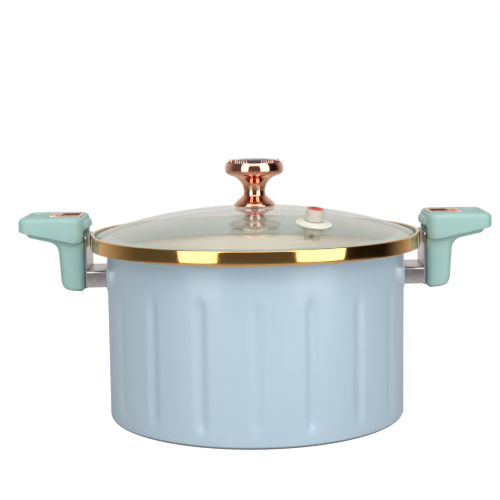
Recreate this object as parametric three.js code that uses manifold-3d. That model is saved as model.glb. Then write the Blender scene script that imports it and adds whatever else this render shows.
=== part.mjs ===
// Low-pressure stock pot: a fluted aluminium pot, a domed glass lid in a steel hoop with a
// float valve, and two screwed-on side handles whose sliding latches reach over the lid.
// Millimetres, +Z up. The origin is the centre of the pot's underside, and X runs from
// handle to handle. The latches are drawn back at rest, so that the lid is free to lift.
import * as THREE from 'three';
import { mergeVertices } from 'three/addons/utils/BufferGeometryUtils.js';
import Module from 'manifold-3d';

const wasm = await Module();
wasm.setup();

// ---------------------------------------------------------------- driving dimensions

const GAP = 0.3; // between pieces that touch
const CUT = 2; // how far a cutter runs past the face it opens
const LID_SIDES = 36; // facets round the glass, the hoop and the gasket, which must agree

const POT = {
  radius: 124.3,
  wall: 3.8,
  height: 144,
  floor: 4,
  cornerRadius: 3,
  bowlRadius: 9,
  flange: 10.2,
  flangeThickness: 2.2,
};
const DISC = { radius: 96, thickness: 2 };
const FLUTE = { count: 18, width: 11.5, depth: 1.7, bottom: 11, belowMouth: 29 };
const BOSS = { halfWidth: 27, height: 19, stand: -1.3, inset: 0.7, belowMouth: 26, corner: 3, round: 1.2 };

const HOOP = { clearance: 2.6, sheet: 0.9, height: 11.5, drop: 1.4, lip: 4.4, curl: 1.5, round: 1.2 };
const GLASS = { thickness: 4, rise: 21.36, power: 2.12, edge: 1.9, crown: 30.5, knobHole: 4.5 };
const GASKET = { web: 1.3, skirt: 2.2, skirtDepth: 5.8, innerStep: 1.4, mouthClearance: 0.6 };

const KNOB = {
  bore: 5.9,
  boreDepth: 17,
  cupRadius: 22.1,
  cupDepth: 3.6,
  // radius and height above the glass, from the foot to the lip
  outline: [
    [16.4, 0], [17.2, 0.9], [16.8, 2.2], [14.5, 4.7], [11.5, 7.2], [9.4, 9.7], [9.0, 13.6],
    [9.6, 17], [10.7, 19.6], [12.8, 22.1], [15.9, 24.6], [21.9, 27.1], [24.2, 29.6],
    [24.4, 32], [24.0, 34.6], [23.1, 36.9],
  ],
};
const INSERT = { wall: 2.2, length: 15, screwClearance: 0.3 };
const CRYSTAL = { radius: 17.6, girdle: 2.6, crown: 3.5, table: 10.5, facets: 16 };
const BEZEL = { width: 3.6, height: 3.4 };
const KNOB_SCREW = { shank: 3.1, head: 6.5, headHeight: 3.2 };
const KNOB_WASHER = { radius: 11, thickness: 1.6 };

const VALVE = {
  orbit: 85.2,
  azimuth: -57.2,
  bore: 5,
  wall: 1.35,
  headWall: 1.25,
  neckRadius: 6.35,
  tubeRadius: 7.45,
  tubeTop: 13.1,
  tubeFoot: 3.9,
  headHeight: 3.4,
  stem: 2.2,
  stemClearance: 0.5,
  web: 2,
  prongLength: 6.4,
  prongRoot: 1,
  prongSlot: 3.4,
  travel: 3,
  headRecess: 1.1,
  capRadius: 3.9,
  capHeight: 2,
};
const GROMMET = { flange: 14.4, rim: 1.5, height: 3.3, wall: 1.5, lip: 9.8, lipHeight: 1.8 };

const PLATE = { rimGap: 1.4, thickness: 1.4, halfWidth: 21, above: 9.6, below: 34.5 };
const BRACKET = { halfWidth: 25, top: 19.2, height: 13.6, sheet: 1.5, round: 2.2, endFlange: 1.6 };
const BRACKET_SCREW = { spread: 11, shank: 2, head: 3.6, headHeight: 2.2, length: 3.6 };

const LEG = { depth: 21.9, halfWidth: 24, below: 36, toe: 10, taper: 2.2, corner: 7, wall: 3 };
const BELLY = { reach: 48.3, halfWidth: 25, corner: 9, drop: 4, fillet: 9, rise: 6 };
const COVER = {
  start: 1.3,
  length: 52.4,
  halfWidth: 30,
  above: 25.5,
  corner: 8,
  insideCorner: 3,
  round: 4.5,
  wall: 2.5,
  edgeInner: 4.4,
  edgeOuter: 14,
  edgeFlat: 7,
};
const SLOT = { start: 4.8, length: 22.6, halfWidth: 9.8 };
const TRIM = { border: 2.6, sideBorder: 4.2, corner: 2, height: 1.3, sunk: 1.2, skirt: 1 };
const THUMB_DIP = { start: 32, length: 15.5, halfWidth: 20, depth: 1.3, corner: 5 };
const LATCH = {
  halfWidth: 18,
  bottom: 10.5,
  top: 21.7,
  overlap: 13,
  clearance: 0.9,
  corner: 5,
  ramp: 5.5,
  rampHeight: 5,
  blockLength: 20,
  tailHalfWidth: 14,
  tailTop: 18.6,
};
const LATCH_PLATE = { halfWidth: 12, thickness: 1.5, start: 2.5 };
const PAD = { length: 7.6, halfWidth: 9, above: 0.9, ribs: 3, ribDepth: 0.7, ribWidth: 1, ribMargin: 1.5 };
const LATCH_SCREW = { spread: 6, shank: 1.4, head: 2.7, headHeight: 1.6, grip: 3.6 };
const RAIL = { width: 2.4, tail: 31.8 };
const HANDLE_SCREW = { spread: 11, belowMouth: 26.5, shank: 2.4, head: 4.2, headHeight: 2.6, length: 13 };
const COVER_SCREW = { reach: 40, spread: 16, shank: 1.5, head: 2.9, headHeight: 1.8, length: 11 };
const SPRING = { sheet: 0.6, length: 16, rise: 1.5, start: 8 };

// ---------------------------------------------------------------- derived places

const mouth = POT.height;
const innerRadius = POT.radius - POT.wall;
const flangeRadius = POT.radius + POT.flange;
const discRecess = DISC.thickness + GAP;
const potFloorTop = discRecess + POT.floor;

const hoopRadius = flangeRadius + HOOP.clearance + HOOP.sheet;
const hoopBottom = mouth - HOOP.drop;
const hoopTop = hoopBottom + HOOP.height;
const gasketOuter = hoopRadius - HOOP.sheet - GAP;
const glassRadius = gasketOuter - GASKET.web - GAP;
const domeRadius = glassRadius - GLASS.edge - 1;
const domeTop = mouth + GLASS.crown;

const plateOuter = hoopRadius + PLATE.rimGap + PLATE.thickness;
const bossFace = POT.radius + BOSS.stand;
const bossMiddle = mouth - BOSS.belowMouth;
const legFace = plateOuter + GAP;
const coverFace = plateOuter + COVER.start;
const coverTop = mouth + COVER.above;
const ceiling = coverTop - COVER.wall;
const latchBottom = mouth + LATCH.bottom;
const latchTip = hoopRadius + LATCH.clearance;
const latchTravel = LATCH.overlap + LATCH.clearance;
const trayTop = latchBottom - 3;
const trimSeat = coverTop - TRIM.sunk;
const trimTop = trimSeat + GAP + TRIM.height;
const padOuterEnd = coverFace + SLOT.start + SLOT.length - 0.4;
const padMiddle = padOuterEnd - PAD.length / 2;

/** Height of the glass's upper face at a distance from the axis. */
function domeHeight(radius) {
  return domeTop - GLASS.rise * (radius / domeRadius) ** GLASS.power;
}

/** Outward lean of the glass's upper face, in radians, at a distance from the axis. */
function domeLean(radius) {
  const ratio = radius / domeRadius;
  return Math.atan((GLASS.rise * GLASS.power * ratio ** (GLASS.power - 1)) / domeRadius);
}

// ---------------------------------------------------------------- finishes

/** One finish, from its colour, roughness and metalness. */
function finish(color, roughness, metalness = 0) {
  return new THREE.MeshStandardMaterial({ color, roughness, metalness });
}

const FINISH = {
  enamel: finish(0xacc4cc, 0.35),
  mint: finish(0xa6c9c0, 0.5),
  gold: finish(0xe2bd6c, 0.12, 1),
  roseGold: finish(0xd9977a, 0.15, 1),
  steel: finish(0xc4c4c6, 0.22, 1),
  silicone: finish(0xaebeb9, 0.6),
  cream: finish(0xded8ca, 0.5),
  glass: finish(0xe6ece8, 0.05),
  crystal: finish(0x17171b, 0.05),
  brass: finish(0xb8924e, 0.3, 1),
  red: finish(0xdc2846, 0.35),
};

// ---------------------------------------------------------------- geometry helpers

/** A geometry with nothing but its shape: merged positions, no collapsed faces, faces turned outwards. */
function closed(source) {
  const bare = source.clone();
  bare.deleteAttribute('normal');
  bare.deleteAttribute('uv');
  const merged = mergeVertices(bare, 1e-3);
  const place = merged.getAttribute('position');
  const from = merged.getIndex().array;
  const kept = [];
  let volume = 0;
  const [a, b, c] = [new THREE.Vector3(), new THREE.Vector3(), new THREE.Vector3()];
  for (let i = 0; i < from.length; i += 3) {
    const [p, q, r] = [from[i], from[i + 1], from[i + 2]];
    if (p === q || q === r || r === p) continue;
    kept.push(p, q, r);
    a.fromBufferAttribute(place, p);
    b.fromBufferAttribute(place, q);
    c.fromBufferAttribute(place, r);
    volume += a.dot(b.cross(c));
  }
  if (volume < 0) kept.reverse();
  merged.setIndex(kept);
  return merged;
}

/** A closed geometry as a solid that can be joined and cut. */
function solid(geometry) {
  const shape = closed(geometry);
  return new wasm.Manifold(
    new wasm.Mesh({
      numProp: 3,
      vertProperties: Float32Array.from(shape.getAttribute('position').array),
      triVerts: Uint32Array.from(shape.getIndex().array),
    }),
  );
}

/** A solid back as a geometry. */
function geometryOf(body) {
  const mesh = body.getMesh();
  const geometry = new THREE.BufferGeometry();
  geometry.setAttribute('position', new THREE.BufferAttribute(mesh.vertProperties, 3));
  geometry.setIndex(new THREE.BufferAttribute(mesh.triVerts, 1));
  return geometry;
}

/** A solid turned about +Z from [radius, height] points that close on the axis or on themselves. */
function turned(points, segments, closeLoop = false) {
  const outline = points.map(([radius, height]) => new THREE.Vector2(radius, height));
  if (closeLoop) outline.push(outline[0].clone());
  const geometry = new THREE.LatheGeometry(outline, segments);
  geometry.rotateX(Math.PI / 2);
  return solid(geometry);
}

/** A round bar along +Z. */
function bar(radius, from, to, segments = 20) {
  return turned([[0, from], [radius, from], [radius, to], [0, to]], segments);
}

/** A ring along +Z with a rectangular section. */
function ring(inner, outer, from, to, segments = 32) {
  return turned([[inner, from], [outer, from], [outer, to], [inner, to]], segments, true);
}

/** A box from its two opposite corners. */
function block([x0, y0, z0], [x1, y1, z1]) {
  const geometry = new THREE.BoxGeometry(x1 - x0, y1 - y0, z1 - z0);
  geometry.translate((x0 + x1) / 2, (y0 + y1) / 2, (z0 + z1) / 2);
  return solid(geometry);
}

/** A rectangle in the plane with its own radius at the low-x and the high-x corners. */
function roundedPlan(x0, x1, half, lowRadius, highRadius = lowRadius) {
  const shape = new THREE.Shape();
  shape.moveTo(x0 + lowRadius, -half);
  shape.lineTo(x1 - highRadius, -half);
  shape.absarc(x1 - highRadius, -half + highRadius, highRadius, -Math.PI / 2, 0, false);
  shape.lineTo(x1, half - highRadius);
  shape.absarc(x1 - highRadius, half - highRadius, highRadius, 0, Math.PI / 2, false);
  shape.lineTo(x0 + lowRadius, half);
  shape.absarc(x0 + lowRadius, half - lowRadius, lowRadius, Math.PI / 2, Math.PI, false);
  shape.lineTo(x0, -half + lowRadius);
  shape.absarc(x0 + lowRadius, -half + lowRadius, lowRadius, Math.PI, 1.5 * Math.PI, false);
  return shape;
}

/** A plan outline raised from one height to another, with its upper edge rounded. */
function raised(shape, from, to, round = 0, curveSegments = 3) {
  const geometry = new THREE.ExtrudeGeometry(shape, {
    depth: to - from - round,
    bevelEnabled: round > 0,
    bevelThickness: round,
    bevelSize: round,
    bevelOffset: -round,
    bevelSegments: 2,
    curveSegments,
  });
  geometry.translate(0, 0, from);
  const body = solid(geometry);
  if (round === 0) return body;
  const box = body.boundingBox();
  return body.intersect(
    block([box.min[0] - CUT, box.min[1] - CUT, from], [box.max[0] + CUT, box.max[1] + CUT, to + CUT]),
  );
}

/** A side outline in X and Z, made solid across Y from -half to half. */
function across(shape, half, curveSegments = 5) {
  const geometry = new THREE.ExtrudeGeometry(shape, {
    depth: 2 * half,
    bevelEnabled: false,
    curveSegments,
  });
  geometry.rotateX(Math.PI / 2);
  geometry.translate(0, half, 0);
  return solid(geometry);
}

/** A closed outline through [x, z] points. */
function outline(points) {
  return new THREE.Shape(points.map(([x, z]) => new THREE.Vector2(x, z)));
}

/** Points on an arc from one angle to another, in degrees. */
function arc(cx, cy, radius, fromDegrees, toDegrees, steps) {
  return Array.from({ length: steps + 1 }, (_, i) => {
    const angle = THREE.MathUtils.degToRad(fromDegrees + ((toDegrees - fromDegrees) * i) / steps);
    return [cx + radius * Math.cos(angle), cy + radius * Math.sin(angle)];
  });
}

/** A pan-head screw with its shank pointing along +Z from the underside of its head at 0. */
function screw({ shank, head, headHeight, length }, segments = 8) {
  const edge = headHeight * 0.4;
  return turned(
    [
      [0, length],
      [shank, length],
      [shank, 0],
      [head, 0],
      [head, -headHeight + edge],
      [head - edge, -headHeight],
      [0, -headHeight],
    ],
    segments,
  );
}

/** Turns a solid that points along +Z so that it points along +X. */
function alongX(body) {
  return body.rotate([0, 90, 0]);
}

// ---------------------------------------------------------------- pot

/** Spun pot with a flat mouth flange, pressed flutes and a flat boss under each handle. */
function potBody() {
  const cornerArc = arc(
    POT.radius - POT.cornerRadius, POT.cornerRadius, POT.cornerRadius, -90, 0, 4,
  );
  const bowlArc = arc(
    innerRadius - POT.bowlRadius, potFloorTop + POT.bowlRadius, POT.bowlRadius, 0, -90, 4,
  );
  let body = turned(
    [
      [0, discRecess],
      [DISC.radius + GAP, discRecess],
      [DISC.radius + GAP, 0],
      ...cornerArc,
      [POT.radius, mouth - POT.flangeThickness - 3],
      [POT.radius + 3, mouth - POT.flangeThickness],
      [flangeRadius - 0.8, mouth - POT.flangeThickness],
      [flangeRadius, mouth - POT.flangeThickness + 0.8],
      [flangeRadius, mouth - 0.6],
      [flangeRadius - 0.6, mouth],
      [innerRadius + 1.2, mouth],
      [innerRadius, mouth - 1.2],
      ...bowlArc,
      [0, potFloorTop],
    ],
    3 * FLUTE.count,
  );
  const cutter = fluteCutter();
  for (let i = 0; i < FLUTE.count; i += 1) {
    body = body.subtract(cutter.rotate([0, 0, -90 + (360 * i) / FLUTE.count]));
  }
  const flat = block(
    [bossFace, -BOSS.halfWidth, bossMiddle - BOSS.height / 2],
    [POT.radius + CUT, BOSS.halfWidth, bossMiddle + BOSS.height / 2],
  );
  for (const turn of [0, 180]) {
    const boss = bossBlock().rotate([0, 0, turn]);
    body = body.subtract(flat.rotate([0, 0, turn])).add(boss);
    for (const sign of [-1, 1]) body = body.subtract(bossHole(sign).rotate([0, 0, turn]));
  }
  return body;
}

/** Round-ended bar that presses one flute into the wall at +X. */
function fluteCutter() {
  const radius = (FLUTE.width ** 2 / 4 + FLUTE.depth ** 2) / (2 * FLUTE.depth);
  const halfLength = (mouth - FLUTE.belowMouth - FLUTE.bottom - FLUTE.width) / 2;
  const geometry = new THREE.CapsuleGeometry(radius, 2 * halfLength, 2, 20);
  geometry.rotateX(Math.PI / 2);
  const middle = FLUTE.bottom + FLUTE.width / 2 + halfLength;
  geometry.translate(POT.radius + radius - FLUTE.depth, 0, middle);
  return solid(geometry);
}

/** Flat-faced boss that a bracket is screwed to. */
function bossBlock() {
  const root = innerRadius + BOSS.inset;
  const plan = roundedPlan(-BOSS.height / 2, BOSS.height / 2, BOSS.halfWidth, BOSS.corner);
  const boss = raised(plan, 0, bossFace - root, BOSS.round, 2);
  return alongX(boss).translate([root, 0, bossMiddle]);
}

/** Blind hole for one bracket screw, in the boss at +X. */
function bossHole(sign) {
  const depth = BRACKET_SCREW.length - BRACKET.endFlange;
  const hole = alongX(bar(BRACKET_SCREW.shank + GAP, -depth, CUT, 10));
  return hole.translate([bossFace, sign * BRACKET_SCREW.spread, bossMiddle]);
}

/** Induction disc that the pot stands on. */
function baseDisc() {
  return bar(DISC.radius, 0, DISC.thickness, 36);
}

// ---------------------------------------------------------------- lid

const valveFoot = new THREE.Vector3(
  VALVE.orbit * Math.cos(THREE.MathUtils.degToRad(VALVE.azimuth)),
  VALVE.orbit * Math.sin(THREE.MathUtils.degToRad(VALVE.azimuth)),
  domeHeight(VALVE.orbit),
);
const valveLean = THREE.MathUtils.radToDeg(domeLean(VALVE.orbit));

/** Stands a solid made about +Z on the glass at the valve's place, square to the glass. */
function atValve(body) {
  return body.rotate([0, valveLean, 0]).rotate([0, 0, VALVE.azimuth]).translate(valveFoot.toArray());
}

/** Radii at which the dome's curve is drawn. */
function domeRadii() {
  const count = 6;
  return Array.from({ length: count + 1 }, (_, i) => {
    return GLASS.knobHole + ((glassRadius - GLASS.knobHole) * i) / count;
  });
}

/** Domed tempered glass with a centre hole for the knob and one for the valve. */
function lidGlass() {
  const upper = domeRadii().map((radius) => [radius, domeHeight(radius)]);
  const lower = upper.map(([radius, height]) => [radius, height - GLASS.thickness]).reverse();
  const dome = turned([...upper, ...lower], LID_SIDES, true);
  const holeRadius = VALVE.neckRadius + GROMMET.wall + 2 * GAP;
  return dome.subtract(atValve(bar(holeRadius, -3 * GLASS.thickness, 3 * GLASS.thickness, 24)));
}

/** Sheet-steel hoop round the glass, with a lip over it and a curled lower edge. */
function lidHoop() {
  const inner = hoopRadius - HOOP.sheet;
  return turned(
    [
      [hoopRadius, hoopBottom + HOOP.sheet / 2],
      [hoopRadius, hoopTop - HOOP.round],
      [hoopRadius - HOOP.round * 0.3, hoopTop - HOOP.round * 0.3],
      [hoopRadius - HOOP.round, hoopTop],
      [hoopRadius - HOOP.lip, hoopTop],
      [hoopRadius - HOOP.lip, hoopTop - HOOP.sheet],
      [inner, hoopTop - HOOP.sheet],
      [inner, hoopBottom + HOOP.sheet],
      [hoopRadius - HOOP.curl, hoopBottom + HOOP.sheet],
      [hoopRadius - HOOP.curl, hoopBottom],
      [hoopRadius - HOOP.sheet / 2, hoopBottom],
    ],
    LID_SIDES,
    true,
  );
}

/** Silicone seal: a web round the glass's edge, a flat face on the flange and a skirt. */
function lidGasket() {
  const skirtOuter = innerRadius - GASKET.mouthClearance;
  const skirtInner = skirtOuter - GASKET.skirt;
  const under = (radius) => domeHeight(radius) - GLASS.thickness - GAP;
  const seat = mouth + GAP;
  const webInner = gasketOuter - GASKET.web;
  return turned(
    [
      [skirtOuter, mouth - GASKET.skirtDepth],
      [skirtOuter, seat],
      [gasketOuter, seat],
      [gasketOuter, hoopTop - HOOP.sheet - GAP],
      [webInner, hoopTop - HOOP.sheet - GAP],
      [webInner, under(webInner)],
      [(webInner + skirtOuter) / 2, under((webInner + skirtOuter) / 2)],
      [skirtOuter - GASKET.innerStep, under(skirtOuter - GASKET.innerStep)],
      [skirtInner, seat + 2],
      [skirtInner, mouth - GASKET.skirtDepth],
    ],
    LID_SIDES,
    true,
  );
}

const knobFoot = domeTop + GAP;
const knobLip = knobFoot + KNOB.outline.at(-1)[1];
const cupFloor = knobLip - KNOB.cupDepth;

/** Baluster knob with a cup for its jewel and a bore for the threaded insert. */
function knobBody() {
  const skin = KNOB.outline.map(([radius, height]) => [radius, knobFoot + height]);
  return turned(
    [
      ...skin,
      [KNOB.cupRadius, knobLip],
      [KNOB.cupRadius, cupFloor],
      [0, cupFloor],
      [0, knobFoot + KNOB.boreDepth],
      [KNOB.bore, knobFoot + KNOB.boreDepth],
      [KNOB.bore, knobFoot],
    ],
    24,
    true,
  );
}

/** Threaded bush pressed into the knob. */
function knobInsert() {
  const outer = KNOB.bore - GAP;
  const inner = KNOB_SCREW.shank + INSERT.screwClearance;
  return ring(inner, outer, knobFoot + 0.6, knobFoot + 0.6 + INSERT.length, 16);
}

/** Faceted jewel that stands in the knob's cup. */
function knobCrystal() {
  const seat = cupFloor + GAP;
  return turned(
    [
      [0, seat],
      [CRYSTAL.radius, seat],
      [CRYSTAL.radius, seat + CRYSTAL.girdle],
      [CRYSTAL.table, seat + CRYSTAL.girdle + CRYSTAL.crown],
      [0, seat + CRYSTAL.girdle + CRYSTAL.crown],
    ],
    CRYSTAL.facets,
  );
}

/** Ring that holds the jewel in the cup. */
function knobBezel() {
  const inner = CRYSTAL.radius + GAP;
  const outer = KNOB.cupRadius - GAP;
  const seat = cupFloor + GAP;
  return turned(
    [
      [inner, seat],
      [outer, seat],
      [outer, seat + BEZEL.height - 1],
      [outer - 1, seat + BEZEL.height],
      [inner + 0.8, seat + BEZEL.height],
      [inner, seat + BEZEL.height - 0.8],
    ],
    24,
    true,
  );
}

/** Silicone washer between the glass and the knob screw's head. */
function knobWasher() {
  const top = domeTop - GLASS.thickness - GAP;
  return ring(KNOB_SCREW.shank + GAP, KNOB_WASHER.radius, top - KNOB_WASHER.thickness, top, 24);
}

/** Screw that comes up through the glass into the knob. */
function knobScrew() {
  const underHead = domeTop - GLASS.thickness - KNOB_WASHER.thickness - 2 * GAP;
  const length = knobFoot + 0.6 + INSERT.length - 1 - underHead;
  return screw({ ...KNOB_SCREW, length }, 16).translate([0, 0, underHead]);
}

// ---------------------------------------------------------------- float valve

/** Silicone grommet that clips through the glass and carries the valve. */
function valveGrommet() {
  const inner = VALVE.neckRadius + GAP;
  const outer = inner + GROMMET.wall;
  const below = -GLASS.thickness - 2 * GAP;
  const profile = turned(
    [
      [inner, below - GROMMET.lipHeight],
      [GROMMET.lip - 1, below - GROMMET.lipHeight],
      [GROMMET.lip, below],
      [outer, below],
      [outer, 2 * GAP],
      [GROMMET.flange, 2 * GAP],
      [GROMMET.flange, GROMMET.rim],
      [GROMMET.flange - 0.8, GROMMET.rim + 0.7],
      [outer + 1.2, GROMMET.height],
      [inner, GROMMET.height],
    ],
    28,
    true,
  );
  return atValve(profile);
}

const shelfHeight = VALVE.tubeTop - VALVE.headRecess - VALVE.headHeight;
const webTop = -GLASS.thickness;

/** Valve tube with a shelf for the float's head, a guide web and four prongs under the glass. */
function valveHousing() {
  const stemHole = VALVE.stem + VALVE.stemClearance;
  const headBore = VALVE.tubeRadius - VALVE.headWall;
  const prongEnd = webTop - VALVE.web - VALVE.prongLength;
  let tube = turned(
    [
      [VALVE.bore, prongEnd],
      [VALVE.neckRadius, prongEnd],
      [VALVE.neckRadius, VALVE.tubeFoot],
      [VALVE.tubeRadius, VALVE.tubeFoot],
      [VALVE.tubeRadius, VALVE.tubeTop - 0.6],
      [VALVE.tubeRadius - 0.6, VALVE.tubeTop],
      [headBore, VALVE.tubeTop],
      [headBore, shelfHeight],
      [VALVE.bore - 0.6, shelfHeight],
      [VALVE.bore - 0.6, webTop],
      [stemHole, webTop],
      [stemHole, webTop - VALVE.web],
      [VALVE.bore, webTop - VALVE.web],
    ],
    24,
    true,
  );
  const reach = VALVE.neckRadius + CUT;
  const slotHalf = VALVE.prongSlot / 2;
  const slotTop = webTop - VALVE.web - VALVE.prongRoot;
  for (const turn of [45, 135]) {
    const slot = block([-reach, -slotHalf, prongEnd - CUT], [reach, slotHalf, slotTop]);
    tube = tube.subtract(slot.rotate([0, 0, turn]));
  }
  return atValve(tube);
}

/** Red indicator: a head in the valve's mouth on a stem that runs down through the web. */
function valveFloat() {
  const head = VALVE.tubeRadius - VALVE.headWall - 0.4;
  const top = VALVE.tubeTop - VALVE.headRecess;
  return atValve(
    turned(
      [
        [0, webTop - VALVE.web - VALVE.travel - VALVE.capHeight],
        [VALVE.stem, webTop - VALVE.web - VALVE.travel - VALVE.capHeight],
        [VALVE.stem, shelfHeight + GAP],
        [head, shelfHeight + GAP],
        [head, top - 0.7],
        [head - 0.7, top],
        [0, top],
      ],
      20,
    ),
  );
}

/** Clip on the float's stem that stops it under the web. */
function valveFloatClip() {
  const top = webTop - VALVE.web - VALVE.travel - GAP;
  return atValve(ring(VALVE.stem + GAP, VALVE.capRadius, top - VALVE.capHeight, top, 16));
}

// ---------------------------------------------------------------- handle, drawn at +X

/** Folded steel bracket, open below, from the pot's boss to the back plate. */
function bracket() {
  const from = bossFace + GAP;
  const to = plateOuter - PLATE.thickness - GAP;
  const top = mouth - BRACKET.top;
  const bottom = top - BRACKET.height;
  const half = BRACKET.halfWidth;
  const section = (width, upper, radius) => {
    const shape = new THREE.Shape();
    shape.moveTo(-width, bottom - CUT);
    shape.lineTo(width, bottom - CUT);
    shape.lineTo(width, upper - radius);
    shape.absarc(width - radius, upper - radius, radius, 0, Math.PI / 2, false);
    shape.lineTo(-width + radius, upper);
    shape.absarc(-width + radius, upper - radius, radius, Math.PI / 2, Math.PI, false);
    return shape;
  };
  // the section lies in Y and Z, and runs along X
  const sweep = (shape, x0, x1) => {
    const geometry = new THREE.ExtrudeGeometry(shape, {
      depth: x1 - x0,
      bevelEnabled: false,
      curveSegments: 3,
    });
    geometry.rotateX(Math.PI / 2);
    geometry.rotateZ(Math.PI / 2);
    geometry.translate(x0, 0, 0);
    return solid(geometry);
  };
  const inside = section(half - BRACKET.sheet, top - BRACKET.sheet, BRACKET.round - BRACKET.sheet / 2);
  let body = sweep(section(half, top, BRACKET.round), from, to);
  body = body.subtract(sweep(inside, from + BRACKET.endFlange, to + CUT));
  body = body.subtract(block([from - CUT, -half - CUT, bottom - 2 * CUT], [to + CUT, half + CUT, bottom]));
  for (const y of [-BRACKET_SCREW.spread, BRACKET_SCREW.spread]) {
    const hole = alongX(bar(BRACKET_SCREW.shank + GAP, -CUT, BRACKET.endFlange + CUT, 10));
    body = body.subtract(hole.translate([from, y, bossMiddle]));
  }
  return body;
}

/** Steel plate that the handle is screwed to. */
function backPlate() {
  const inner = plateOuter - PLATE.thickness;
  const low = mouth - PLATE.below;
  const high = mouth + PLATE.above;
  const plan = roundedPlan(low, high, PLATE.halfWidth, 3);
  let plate = raised(plan, 0, PLATE.thickness, 0, 2);
  plate = plate.rotate([0, -90, 0]).translate([plateOuter, 0, 0]);
  for (const y of [-HANDLE_SCREW.spread, HANDLE_SCREW.spread]) {
    const hole = alongX(bar(HANDLE_SCREW.shank + GAP, -CUT, PLATE.thickness + CUT, 10));
    plate = plate.subtract(hole.translate([inner, y, mouth - HANDLE_SCREW.belowMouth]));
  }
  return plate;
}

/** Height of the cover's lower edge at a distance out from the cover's inner face. */
function coverEdge(out) {
  const slope = (COVER.edgeOuter - COVER.edgeInner) / (COVER.length - COVER.edgeFlat);
  return mouth + COVER.edgeInner + slope * Math.max(0, out - COVER.edgeFlat);
}

/** Moulded leg and tray, one piece, that carries the latch between two rails. */
function handleBase() {
  const legBottom = mouth - LEG.below;
  const legOuter = legFace + LEG.depth;
  const insideFace = coverFace + COVER.wall + GAP;
  const bellyAt = (x) => coverEdge(x - coverFace) - BELLY.drop;
  const shoulder = coverEdge(0) - GAP;
  const wellEnd = legFace + RAIL.tail;
  const side = new THREE.Shape();
  side.moveTo(legFace, legBottom + 3);
  side.lineTo(legFace + 3, legBottom);
  side.lineTo(legOuter - LEG.taper - LEG.toe, legBottom);
  side.quadraticCurveTo(legOuter - LEG.taper, legBottom, legOuter - LEG.taper, legBottom + LEG.toe);
  side.lineTo(legOuter, bellyAt(legOuter) - BELLY.fillet);
  const filletEnd = legOuter + BELLY.fillet;
  side.quadraticCurveTo(legOuter, bellyAt(legOuter), filletEnd, bellyAt(filletEnd));
  side.lineTo(bellyEnd - 4, bellyAt(bellyEnd - 4));
  side.quadraticCurveTo(bellyEnd, bellyAt(bellyEnd), bellyEnd, bellyAt(bellyEnd) + 4);
  side.lineTo(bellyEnd, trayLid);
  side.lineTo(wellEnd, trayLid);
  side.lineTo(wellEnd, trayTop);
  side.lineTo(insideFace, trayTop);
  side.lineTo(insideFace, shoulder);
  side.lineTo(legFace, shoulder);
  const plan = raised(
    roundedPlan(legFace, bellyEnd, BELLY.halfWidth, LEG.corner, BELLY.corner),
    legBottom - CUT,
    trayLid + CUT,
  );
  let body = across(side, BELLY.halfWidth).intersect(plan);
  for (const sign of [-1, 1]) body = body.subtract(legEdgeCutter(legOuter, legBottom, sign));
  // well inside the leg, open upwards
  const wellTop = trayTop + CUT;
  const well = raised(
    roundedPlan(insideFace + LEG.wall, legOuter - LEG.wall, LEG.halfWidth - LEG.wall - 2, 3),
    mouth - HANDLE_SCREW.belowMouth + 8,
    wellTop,
  );
  body = body.subtract(well);
  for (const y of [-1, 1]) {
    const rail = [LATCH.halfWidth, LATCH.halfWidth - RAIL.width].map((value) => y * value);
    body = body.add(
      block(
        [insideFace, Math.min(...rail), trayTop - 1],
        [wellEnd + 1, Math.max(...rail), latchBottom - GAP],
      ),
    );
    const hole = alongX(bar(HANDLE_SCREW.shank + GAP, -CUT, HANDLE_SCREW.length + 1, 10));
    body = body.subtract(
      hole.translate([legFace, y * HANDLE_SCREW.spread, mouth - HANDLE_SCREW.belowMouth]),
    );
    body = body.subtract(coverScrewHole(y));
  }
  return body;
}

/** Wedge of air that rounds one outer upright edge of the leg below the tray. */
function legEdgeCutter(legOuter, legBottom, sign) {
  const size = LEG.corner + CUT;
  const top = coverEdge(legOuter - coverFace) - BELLY.drop - BELLY.fillet;
  const corner = block([legOuter - LEG.corner, 0, legBottom - CUT], [legOuter + CUT, size, top]);
  const round = bar(LEG.corner, legBottom - 2 * CUT, top + CUT, 20);
  const inset = BELLY.halfWidth - LEG.corner;
  const cutter = corner.subtract(round.translate([legOuter - LEG.corner, 0, 0]));
  return sign > 0 ? cutter.translate([0, inset, 0]) : cutter.mirror([0, 1, 0]).translate([0, -inset, 0]);
}

const bellyEnd = legFace + BELLY.reach;
const trayLid = coverEdge(bellyEnd - coverFace) - BELLY.drop + BELLY.rise;
const coverScrewX = coverFace + COVER_SCREW.reach;
const coverScrewSeat = coverEdge(COVER_SCREW.reach) - BELLY.drop + COVER_SCREW.headHeight + 1;

/** Stepped hole under the tray for one cover screw. */
function coverScrewHole(sign) {
  const shank = bar(COVER_SCREW.shank + GAP, coverScrewSeat - 1, ceiling + CUT, 12);
  const head = bar(COVER_SCREW.head + 0.4, mouth - CUT, coverScrewSeat, 16);
  return shank.add(head).translate([coverScrewX, sign * COVER_SCREW.spread, 0]);
}

/** One cover screw, head down under the tray. */
function coverScrew(sign) {
  const body = screw(COVER_SCREW);
  return body.translate([coverScrewX, sign * COVER_SCREW.spread, coverScrewSeat - GAP]);
}

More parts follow.
